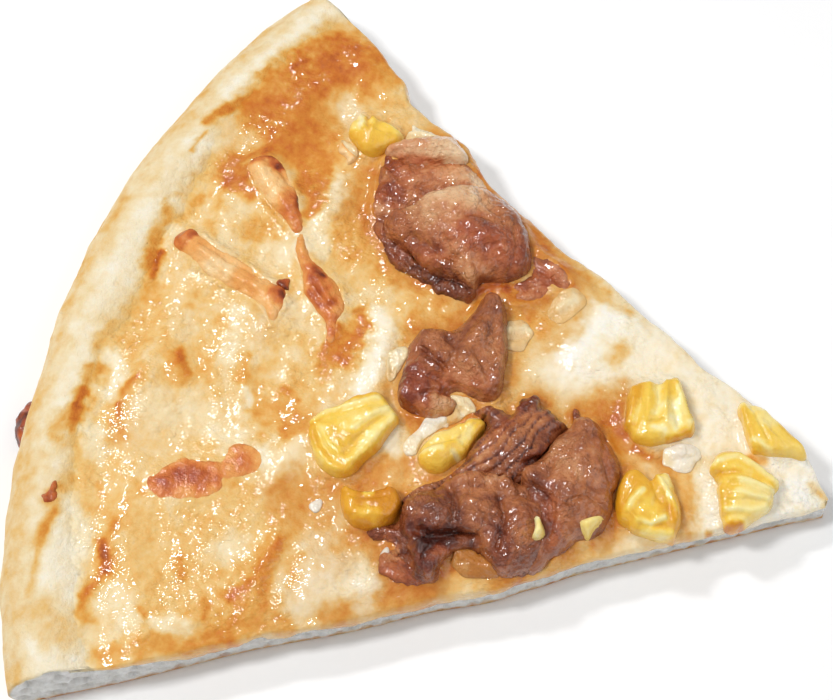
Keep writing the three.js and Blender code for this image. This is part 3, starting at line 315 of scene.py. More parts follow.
MEAT = {
    "chicken_large": dict(
        level=9.6, height=4.8, shoulder=1.6, crown=0.4, soft_side=(0.6, 0.9), hug=0.9, wrinkled=0.5, ground=0.0,
        outline=[
            (19.4, 13), (20.8, 13.2), (22.2, 12.4), (22.8, 11), (23.8, 9.8), (24.8, 8.8), (26.2, 7.4),
            (27.4, 5.8), (28, 3.8), (28.2, 1.8), (27.6, -0.2), (26.8, -2.2), (25.8, -3.6), (24.4, -4.6),
            (22.8, -5.6), (20.8, -6.4), (19.2, -6.8), (18, -6.6), (17, -5.8), (16.2, -4.4), (15.6, -2.8),
            (15, -1.8), (14.2, -1.2), (13.2, -1), (13.8, -0.2), (14.2, 1), (14.2, 2.2), (14.4, 4),
            (14.6, 5.2), (15.4, 6.8), (16.6, 8.4), (17.2, 10), (17.4, 11.4), (18.2, 12.4),
        ],
        lifts=[
            (0.9, 2.6, (23.6, 7), (25, 3.2)), (-0.5, 0.7, (18.2, 9), (17, 5.6), (16.4, 2)),
            (0.5, 1.5, (20.8, 1.2), (20.2, -3.4)), (-0.35, 0.6, (20.8, 4.2), (22.8, 1.4), (22.8, -2)),
            (0.5, 0.7, (17, 0.6), (14.2, -0.6)), (-0.4, 0.7, (18.6, 4.6), (16.2, 2.4)),
            (-0.6, 0.55, (26.6, 6.8), (24.4, 9), (22.4, 11), (21, 12.8)),
            (-0.4, 0.5, (26.4, 2.4), (24.8, 1), (24, -1.4)), (0.4, 0.7, (19, 11.4), (17, 8.6), (15.4, 6)),
            (-0.35, 0.5, (22.8, -3.6), (19.8, -5), (17.4, -4.8)), (0.35, 1, (21, 11.6), (21.8, 9.6)),
        ],
        tones=[
            (0.2, 2.4, (20.2, 10.2), (19.2, 7.2)), (-0.18, 2.6, (24, 7.6), (25.2, 3.6)),
            (-0.62, 1, (24.2, 7.8), (24, 6.4)), (-0.35, 1.2, (26.4, 5), (25.2, 2.4)),
            (-0.1, 1.6, (21.6, 5.8), (22.2, 7.6)), (0.36, 1.5, (17.2, 8.4), (16, 4.6), (15.4, 1.4)),
            (0.26, 2, (21, 1.6), (22, -2.2)), (0.34, 2.2, (18.4, -0.8), (18.8, -5.2)),
            (0.02, 1.1, (17.4, 1.2), (14.4, -0.4)), (0.34, 1.4, (26.2, -0.8), (25.2, -3.4)),
            (0.45, 0.8, (23.6, -4.4), (20.4, -6)), (0.3, 1.2, (20.6, 12.2), (18.6, 11.8)),
            (0.55, 0.4, (14.8, 5.2), (14.4, 2), (13.8, -0.4)),
            (0.5, 0.4, (15, -1.6), (16.2, -4.4), (17.4, -6.4)),
        ],
        glaze=[
            (0.9, 2.4, (19.8, 2), (19.4, -4.2)), (0.6, 1.4, (17, 9.6), (15.8, 4)),
            (0.3, 1.5, (20.6, 12), (18.8, 10.2)),
        ],
    ),
    "chicken_back": dict(
        level=8.8, height=1.7, shoulder=2.0, hug=0.9, wrinkled=0.8, ground=0.24,
        outline=[
            (29.4, 16), (28.4, 16.2), (27.2, 16), (25.6, 15.8), (23.6, 15.4), (21.6, 15.2), (20.4, 14.4),
            (20, 12.8), (20.4, 11), (21.8, 9.4), (23.4, 7.8), (25, 5.8), (25.8, 4), (26, 2.2), (28, 1.4),
            (29, 2), (30.4, 3.6), (31.2, 5.4), (30.8, 7.4), (29.8, 9.8), (29.8, 12.4), (29.8, 14.6),
        ],
        lifts=[
            (0.3, 0.6, (26.6, 14.6), (24.4, 11.8)), (-0.3, 0.5, (28, 15.2), (25.6, 12.6)),
            (0.25, 0.7, (26, 11), (28.8, 8.2)), (-0.3, 0.5, (23.8, 11.4), (27, 8.2)),
            (0.3, 0.6, (23, 14.6), (22.6, 12.6)), (0.2, 0.6, (28.4, 6.4), (28.4, 4)),
        ],
        tones=[
            (0.34, 0.7, (28.2, 15.4), (26.2, 12.8)), (0.34, 0.9, (23.8, 14.4), (23.6, 12.2)),
            (0.05, 1.4, (25.6, 11.4), (28, 7.8)), (-0.3, 1, (28.4, 7.2), (28.8, 3.6)),
            (0.25, 0.9, (25.6, 13.6), (24.6, 11.8)), (-0.6, 0.8, (29.2, 3.2), (28.4, 2)),
            (0.1, 0.8, (21.8, 14.6), (21.4, 12.8)),
        ],
        glaze=[
            (1, 1.1, (28.4, 15.8), (27.6, 13.8), (26.6, 12.4)), (1, 1.2, (23.6, 15.2), (23.8, 12.2)),
            (0.4, 2, (26, 11), (28, 7.8)),
        ],
    ),
    "chicken_edge": dict(
        level=9, height=2.8, shoulder=1.3, crown=0.3, hug=0.9, wrinkled=0.1, ground=-0.48,
        outline=[
            (29.4, 16), (30.4, 16), (31.2, 15.2), (31.8, 14), (32.6, 12.4), (33.4, 10.8), (34, 9),
            (34, 7.8), (33.2, 6.6), (32.4, 5.6), (31.6, 5.2), (30.6, 5.4), (29.8, 7.2), (29, 9), (28.6, 11),
            (28.6, 12.4), (28.8, 14), (29, 15),
        ],
        lifts=[
            (0.35, 1.4, (31.2, 11.8), (31.8, 8.4)), (-0.3, 0.4, (29, 12.6), (29.2, 9.6), (30, 7)),
            (0.25, 0.6, (30, 14.6), (31, 13.8)),
        ],
        tones=[
            (-0.5, 1.6, (30.8, 8.8), (31.8, 6.4)), (-0.16, 1.4, (30.4, 13.6), (31.6, 11.2)),
            (0.1, 0.3, (29, 13.6), (29, 11), (29.8, 7.6)), (-0.7, 0.8, (30.6, 7.2), (31.2, 6)),
        ],
        glaze=[
            (0.9, 0.5, (29.2, 15.4), (29, 12.6), (29.4, 8.4)), (0.4, 1.2, (30.4, 14.8), (31.8, 11.8)),
        ],
    ),
    "chicken_low": dict(
        level=8.4, height=0.6, shoulder=1.4, hug=0.9, wrinkled=0.7, ground=0.12,
        outline=[
            (21.2, -5.4), (21.4, -6.6), (21, -8.2), (20.2, -10), (19.6, -11.4), (18.6, -12.4),
            (17.4, -12.8), (16.4, -11.8), (16, -10.4), (15, -9.6), (14.2, -8.4), (13.2, -6.8), (13.2, -5.6),
            (14, -4.4), (15, -4.2), (16.2, -4.8), (17, -5.8), (18.4, -6.2),
        ],
        lifts=[
            (0.25, 0.6, (20.4, -8.8), (19.2, -10.8), (17.4, -12)),
            (-0.3, 0.4, (19.2, -6.8), (18.2, -9.4), (16.6, -11)),
            (0.3, 0.5, (16, -6.2), (17.6, -8.6), (17.8, -10.6)),
            (-0.3, 0.4, (14.8, -5.6), (15.8, -7.8), (16.8, -10)), (0.25, 0.4, (14.2, -6.6), (15.2, -8.6)),
        ],
        tones=[
            (0.55, 1, (14.8, -5), (16.2, -6), (17.8, -6.8)), (-0.2, 1, (19, -9.8), (18, -11.6)),
            (0.3, 0.8, (20.4, -6.8), (20.4, -8.6)), (-0.05, 1.2, (14.6, -7.2), (16.2, -9.6)),
            (0.2, 0.8, (18.6, -7.8), (18, -9.6)),
        ],
        glaze=[
            (0.8, 2.2, (15.2, -5.4), (17, -7.4), (18.2, -10.6)),
        ],
    ),
    "chicken_dark": dict(
        level=9.4, height=3.8, shoulder=1.4, crown=0.4, hug=0.8, wrinkled=0.35, ground=0.26,
        outline=[
            (-2, 3.6), (-3.2, 3.2), (-4, 2.4), (-4.4, 1), (-4.4, -0.4), (-4.2, -1.6), (-3.4, -3),
            (-2.4, -3.6), (-1.2, -3.6), (-0.4, -2.6), (0.2, -3.4), (0, -5), (-0.2, -6.6), (0, -7.8),
            (0.8, -8.4), (2.2, -8.4), (4, -8), (6.2, -7.6), (8.6, -7.2), (11, -6.4), (12.8, -5.6),
            (13.6, -4.8), (14.4, -3.8), (14.4, -3), (13.4, -2.4), (11.8, -2.2), (10.2, -1.6), (8.8, -1),
            (7.8, 0), (7.6, 1.2), (7.2, 2.4), (6.4, 3.4), (5.4, 4), (4.2, 4.4), (2.8, 4.2), (1.4, 3.8),
            (0, 3.6), (-1, 3.8),
        ],
        lifts=[
            (0.6, 1.2, (12.8, -4), (9.8, -4.2), (7, -3.6)),
            (-0.7, 0.45, (3.8, 2.4), (2.6, 0.4), (1.8, -1.4)), (0.7, 1.3, (0.6, 2.8), (-2.6, 2.2)),
            (0.5, 0.9, (2, 1.6), (1.6, -0.4)), (-0.45, 0.6, (5.8, -0.4), (4.8, -1.8), (2.8, -1.8)),
            (0.5, 1.2, (5.8, 2.4), (6, 0.8)), (0.35, 0.8, (3.2, -3), (3, -5.2)),
            (-0.5, 0.4, (-2.2, 0.2), (-1.2, -1), (-0.6, -2.4)),
            (-0.4, 0.6, (5.6, -3.8), (3.2, -6), (0.8, -7.4)),
            (0.4, 0.6, (11.6, -5), (6.4, -6.8), (2, -7.6)), (-0.3, 0.5, (0.2, 0.2), (0.4, -2.6)),
        ],
        tones=[
            (0.5, 1.6, (-0.4, 2.8), (-3, 2.2)), (0.5, 1.2, (-1.4, 1), (-0.4, 0)),
            (-0.2, 1, (-3.2, -1.2), (-2, -2.6)), (0.36, 1.4, (5.4, 2.6), (6.4, 0.2)),
            (0.38, 2, (12.2, -4), (9.4, -4.4)), (0.2, 1.4, (6.6, -4), (3.6, -6)),
            (0.16, 1, (1.8, -1.6), (1.4, -4.6)), (0.5, 0.6, (3.6, 2), (2, -0.6)),
            (0.45, 0.7, (5.8, -0.8), (4.6, -2)), (0.36, 0.8, (1.2, -7), (3.6, -7.4)),
            (0.5, 0.3, (-2.2, 3.6), (-4.2, 2), (-4.2, 0.8)),
        ],
        glaze=[
            (1, 2, (0.4, 3), (-3, 1.8)), (0.9, 1.4, (-0.8, 0.6), (0.6, -1)),
            (0.4, 1.4, (1.2, -3.4), (1.2, -6)), (0.3, 1, (3.6, 2), (2, -0.6)),
        ],
    ),
    "chicken_fibrous": dict(
        level=9.6, height=3.3, shoulder=1.5, crown=0.3, hug=0.7, wrinkled=0.35, ground=0.56,
        layers=FIBRE_LAYERS,
        outline=[
            (-16, -2), (-15.4, -1.2), (-14.2, -1.6), (-13, -2.4), (-12, -3.8), (-10.8, -5.2), (-9.4, -6),
            (-8, -6.6), (-6.4, -7), (-4.6, -7.6), (-3, -7.8), (-2.2, -6.8), (-2.6, -5.6), (-1.6, -6),
            (-0.4, -7.2), (-0.4, -8.8), (-1, -10.2), (-0.2, -11), (1, -11.2), (2.2, -11.8), (2.4, -13),
            (1.4, -13.6), (1.4, -14.6), (0.4, -16.4), (0, -17.6), (-1, -17), (-2.2, -16.6), (-3.6, -16.2),
            (-5, -16.2), (-6.6, -15.4), (-8, -14.8), (-9.4, -13.6), (-10, -11.4), (-10.6, -8.4),
            (-11.2, -6.2), (-12.4, -5.2), (-14.2, -3.8),
        ],
        lifts=[
            (0.4, 0.5, (1.8, -11.6), (-0.2, -11.4)), (0.35, 0.5, (1.8, -12.8), (0, -13)),
            (-0.4, 0.35, (2, -11.8), (0.6, -12)), (0.5, 0.7, (-6.4, -13.4), (-4.8, -15.2), (-3.2, -15.8)),
            (-0.7, 0.4, (-6.8, -14), (-5.4, -15.6), (-3.6, -16.2)),
            (-0.4, 0.5, (-15.6, -1.8), (-13.4, -3.6)),
        ],
        tones=[
            (0.62, 0.5, (0.4, -11.6), (2, -12)), (0.58, 0.5, (1.8, -12.6), (1.2, -13)),
            (0.62, 0.35, (-6.4, -13.8), (-5, -15.2), (-3.4, -16)), (0.2, 1.2, (-7.6, -8.8), (-5.2, -10)),
            (0.5, 1.2, (-1, -16.2), (-0.2, -17.2)), (0.5, 0.8, (-15.2, -1.6), (-13.6, -3.2)),
            (0.3, 1.4, (-12.4, -4), (-10.8, -5.8)), (0.5, 0.4, (-2.4, -5.6), (-0.8, -6.8)),
            (0.25, 1, (-3, -12.4), (-1.2, -13.6)),
        ],
        glaze=[
            (1, 0.7, (0.2, -11.6), (2.2, -12)), (0.9, 0.45, (-6.8, -13.8), (-5.2, -15.4), (-3.4, -16)),
            (0.5, 0.8, (-3.8, -10), (-2, -10.8)),
        ],
    ),
    "chicken_smooth": dict(
        level=9.8, height=3.9, shoulder=1.7, crown=0.3, hug=0.8, wrinkled=0.2, ground=0.34,
        outline=[
            (-8.6, -13.6), (-7.6, -13), (-6.8, -13.8), (-5.4, -15), (-3.8, -15.6), (-2.2, -16.2),
            (-1, -16.8), (0, -17.4), (1, -17.4), (2.2, -17), (2.8, -17.8), (1.8, -18.4), (1.8, -19.6),
            (1, -21), (-0.2, -22.2), (-1.4, -23.4), (-2.8, -24.4), (-4.4, -25.2), (-6, -25.2), (-7.2, -25),
            (-8.8, -25.4), (-10.6, -25.2), (-11.8, -24.6), (-12.8, -23.6), (-13.6, -22.4), (-15.2, -21.4),
            (-16.6, -20.4), (-17.8, -19.6), (-19, -18.4), (-18, -17.4), (-16, -17.4), (-14, -17.4),
            (-12.2, -16.4), (-10.8, -15),
        ],
        lifts=[
            (0.4, 1.6, (-2.2, -19.6), (-5.2, -22.4)),
            (-0.6, 0.7, (-9.4, -15.6), (-10.6, -17.8), (-12.8, -19), (-16.2, -19.4)),
            (0.4, 1.2, (-11.2, -20.4), (-12.4, -21.6)),
            (-0.45, 0.4, (-10.4, -20.2), (-8.8, -22.2), (-9.4, -24.6)),
            (0.35, 0.8, (0.2, -18.4), (0.2, -19.8)), (-0.3, 0.4, (-0.8, -22.2), (-4, -22.6), (-6, -24.2)),
            (0.4, 0.9, (-7.6, -14.8), (-8.6, -16)), (-0.3, 0.5, (-5.6, -17), (-7.8, -17)),
        ],
        tones=[
            (0.5, 1.1, (-9.6, -15.8), (-11, -18.2), (-14.2, -19.2)),
            (0.62, 0.8, (-8.8, -15.8), (-10.4, -17)), (0.1, 2, (-4, -17.6), (-6.2, -19.2)),
            (0.34, 1.4, (0.4, -19), (-1.4, -21.8)), (0.3, 1.2, (-7.6, -23.4), (-9.8, -24.8)),
            (0.55, 0.35, (2.4, -17.2), (1.8, -17.8)), (0.2, 1.4, (-12, -20.2), (-12.8, -21.6)),
            (0.36, 1, (-10.2, -19), (-10, -20.6)), (0.4, 0.8, (-16.6, -19.8), (-15.4, -21)),
            (0.3, 1.6, (-3.8, -21.2), (-5.6, -23.8)),
        ],
        glaze=[
            (0.6, 1.2, (-10.4, -18), (-15.2, -19.8)), (0.8, 0.4, (2.4, -17.2), (1.4, -17.8)),
            (0.3, 1, (-1.4, -21.8), (-4.8, -24)),
        ],
    ),
    "chicken_lumps": dict(
        level=9.4, height=4, shoulder=1.6, crown=0.3, hug=0.8, wrinkled=0.8, ground=0.38,
        outline=[
            (-18.4, -1.8), (-16.8, -1.6), (-15.6, -1.8), (-14.2, -2.4), (-13.2, -3.4), (-12.4, -4.8),
            (-11, -5.6), (-10, -6.4), (-9, -8.4), (-8.4, -11.2), (-8.4, -13), (-9.2, -14.4), (-10, -16.2),
            (-10.6, -17.6), (-12.2, -18.6), (-14.2, -19), (-16, -19.8), (-17.8, -19.2), (-19.2, -18),
            (-20.2, -16.6), (-20.6, -15), (-19.8, -13.6), (-18.8, -12), (-19, -10.4), (-19.8, -9),
            (-21.4, -8.2), (-23.2, -8.2), (-24, -7), (-24.2, -5.6), (-23.4, -4.2), (-22, -3), (-20.4, -2),
        ],
        lifts=[
            (0.8, 1.6, (-15.6, -3.2), (-15.4, -5.4)), (0.5, 1.4, (-10.6, -8.4), (-10, -12)),
            (-0.6, 0.5, (-12.4, -6.2), (-14.4, -8), (-16.8, -8.2)),
            (-1.5, 0.8, (-18.8, -4.4), (-19.2, -6.2), (-18.2, -8.6), (-17.8, -11)),
            (-1.3, 1.5, (-20.4, -2.6), (-22.8, -4.4)),
            (0.5, 1, (-14, -9.4), (-14.4, -12.2)), (-0.6, 0.5, (-12.2, -12.6), (-14.4, -13.8), (-18, -14)),
            (0.6, 1.3, (-12.8, -14.8), (-15, -16.4)), (0.45, 1, (-18, -16), (-17.4, -17.8)),
            (0.45, 0.5, (-23.2, -7.2), (-21, -7.6), (-19, -9), (-18.4, -11.4)),
            (-0.6, 0.45, (-22, -6.2), (-20.6, -6.6), (-19, -8.2)), (0.4, 0.8, (-21.2, -3.6), (-22.6, -5.2)),
            (-0.4, 0.4, (-10.6, -8.4), (-12.8, -9.2)), (-0.35, 0.35, (-9.6, -10), (-11.8, -10.8)),
            (-0.35, 0.35, (-9, -11.6), (-11, -12.2)), (0.5, 0.7, (-8.6, -14), (-9.8, -15.2)),
            (-0.5, 0.5, (-8.8, -13.4), (-10.8, -14.8), (-11, -16.6)),
        ],
        tones=[
            # The strokes of tone 0.98 darken the deep creases nearly to black: painted shade.
            (0.5, 1.8, (-16.4, -3), (-15.8, -5.8)), (0.98, 1.1, (-19, -4), (-19.4, -6.2), (-18.2, -10)),
            (0.98, 0.9, (-21, -5.8), (-19.6, -7.4)), (0.2, 1.8, (-10.4, -7.8), (-9.6, -12.4)),
            (0.22, 1.2, (-9.4, -11.8), (-9.8, -13.4)), (0.55, 0.8, (-14, -6.6), (-16.2, -8.4)),
            (0.28, 1.4, (-14.4, -10.4), (-15.4, -12.6)), (0.62, 0.6, (-12.6, -12.8), (-15, -14)),
            (0.24, 1.4, (-13.4, -14.8), (-15, -16.6)), (0.5, 1.2, (-18.6, -15.6), (-17.2, -18.2)),
            (0.62, 0.7, (-16.4, -13.4), (-19, -14.6)), (0.3, 0.6, (-23, -7.8), (-20.6, -8.2), (-19, -10.2)),
            (0.5, 1, (-21.6, -3.6), (-23, -5.4)), (0.7, 0.6, (-23.6, -6.2), (-22.4, -7.2)),
            (0.6, 0.8, (-18.6, -2), (-19.8, -3.2)),
        ],
        glaze=[
            (0.7, 1.5, (-19, -4), (-19.8, -7.6)), (0.5, 1, (-15.8, -13.8), (-19.2, -15.4)),
            (0.6, 1, (-22.8, -7.4), (-22, -6)), (0.3, 1.2, (-14.2, -14.8), (-13.6, -16.6)),
        ],
    ),
}

TOAST = {
    "cheese_stick_long": dict(
        level=9, height=1.2, shoulder=1.4, hug=0.7, ground=-0.2,
        outline=[
            (8.9, 37.9), (10.6, 37.9), (12, 36.6), (11.2, 34.4), (10.2, 32), (9.8, 29.4), (8.9, 26.4),
            (7.8, 23.8), (7.1, 21.5), (4.6, 21), (2.3, 21.7), (3.8, 23.8), (5, 26.6), (5.7, 30), (6.7, 33),
            (8.2, 35.6),
        ],
        lifts=[
            (0.4, 0.6, (6.2, 25), (7.2, 30), (9, 34)), (-0.35, 0.35, (8, 25), (8.8, 30), (9.9, 34)),
            (0.5, 0.8, (10, 36.4), (11, 36)),
        ],
        tones=[
            (0.05, 1.2, (9, 34.4), (9.8, 33)), (0.62, 1.1, (9.6, 37.1), (11.2, 36)),
            (0.8, 0.3, (10.4, 35.6), (11.2, 35)), (-0.65, 0.9, (7.3, 31.4), (7.3, 29.8)),
            (0.05, 1.4, (6.8, 27), (5.6, 23)), (0.6, 0.8, (5.6, 21.7), (6.8, 22.6)),
            (0.85, 0.3, (6.2, 21.6), (6.9, 22)),
        ],
    ),
    "cheese_stick_wide": dict(
        level=9, height=1.4, shoulder=1.8, hug=0.7, ground=-0.12,
        outline=[
            (22.4, 32.5), (24.1, 31.7), (24.8, 30), (24.2, 28.4), (22.8, 26.8), (20.6, 24.8), (18, 23.4),
            (15.8, 22.5), (15.2, 23.6), (16.8, 26), (18.6, 28.6), (20.6, 31.2),
        ],
        lifts=[
            (0.4, 1, (18.4, 26), (22.2, 30.6)), (-0.3, 0.4, (21.4, 26), (23.2, 28.4)),
            (0.3, 0.6, (17, 24.4), (19.6, 24.8)),
        ],
        tones=[
            (-0.5, 1, (19.6, 27.6), (21.8, 30.4)), (0.75, 0.7, (23.4, 31.6), (24.5, 29.8), (23.3, 28.4)),
            (0.55, 0.9, (17, 24.9), (19.8, 24.9)), (0.45, 0.8, (15.6, 23), (18.4, 23.5)),
            (0.9, 0.25, (18.6, 24.3), (20, 24.6)),
        ],
    ),
    "cheese_stick_dark": dict(
        level=8.8, height=1.2, shoulder=1.3, hug=0.6, ground=0.12,
        outline=[
            (15.5, 22.7), (14, 21.3), (12.2, 19.6), (10.8, 17.2), (9.4, 15), (7, 13.7), (5, 13.9),
            (2.6, 13.2), (1.6, 14.3), (4.4, 15.5), (5.8, 17.4), (7.6, 19.4), (10.2, 20.8), (12.8, 22.6),
        ],
        lifts=[
            (0.35, 0.5, (7, 15.6), (9.6, 18.4)), (-0.3, 0.3, (6, 15), (8.4, 18.8)),
            (0.25, 0.5, (11, 20.4), (14, 22)),
        ],
        tones=[
            (0.6, 0.8, (10.6, 19.2), (8.6, 17.8), (7, 15.8)), (0.85, 0.3, (10.7, 19), (10, 17.7)),
            (0.05, 0.7, (12, 21), (14.6, 22.3)), (0.5, 0.7, (3.4, 14.2), (5, 14.6)),
            (0.6, 0.3, (6.2, 16.6), (7.4, 18.6)),
        ],
    ),
    "cheese_blister": dict(
        level=8.4, height=0.4, shoulder=1.2, hug=0.25, crown=0.3, ground=0.12,
        outline=[
            (-21.2, 28.6), (-20, 27.6), (-18.8, 26.6), (-17.8, 25.8), (-17.8, 25), (-17.8, 23.8),
            (-17.4, 22), (-17, 21), (-15.8, 21), (-15, 20.8), (-14.2, 19.8), (-14, 18.4), (-14.6, 17),
            (-15.6, 16.4), (-17, 16.4), (-17.6, 17.2), (-18.2, 18.2), (-18.8, 19.2), (-19.4, 19.6),
            (-20.4, 19.8), (-21.6, 20.8), (-22.6, 22.2), (-23.2, 24.4), (-23.8, 26.4), (-23.6, 27.6),
            (-22.4, 28.6),
        ],
        lifts=[
            (0.12, 1, (-21.8, 26.6), (-19.8, 22.8)), (-0.15, 0.5, (-17.4, 20.8), (-19.6, 19.8)),
            (0.12, 0.8, (-16.2, 18.8), (-16.2, 18.4)),
        ],
        tones=[
            (0.5, 1.5, (-22, 27.2), (-20.6, 25.6), (-20.2, 23.6), (-19.2, 21.8)),
            (0.66, 0.9, (-21.4, 26.4), (-19.6, 25), (-19.6, 22.8)), (0.42, 1, (-16.2, 19.2), (-16.2, 18.2)),
            (0.15, 0.5, (-17.2, 20.8), (-19.4, 19.6)),
        ],
    ),
}

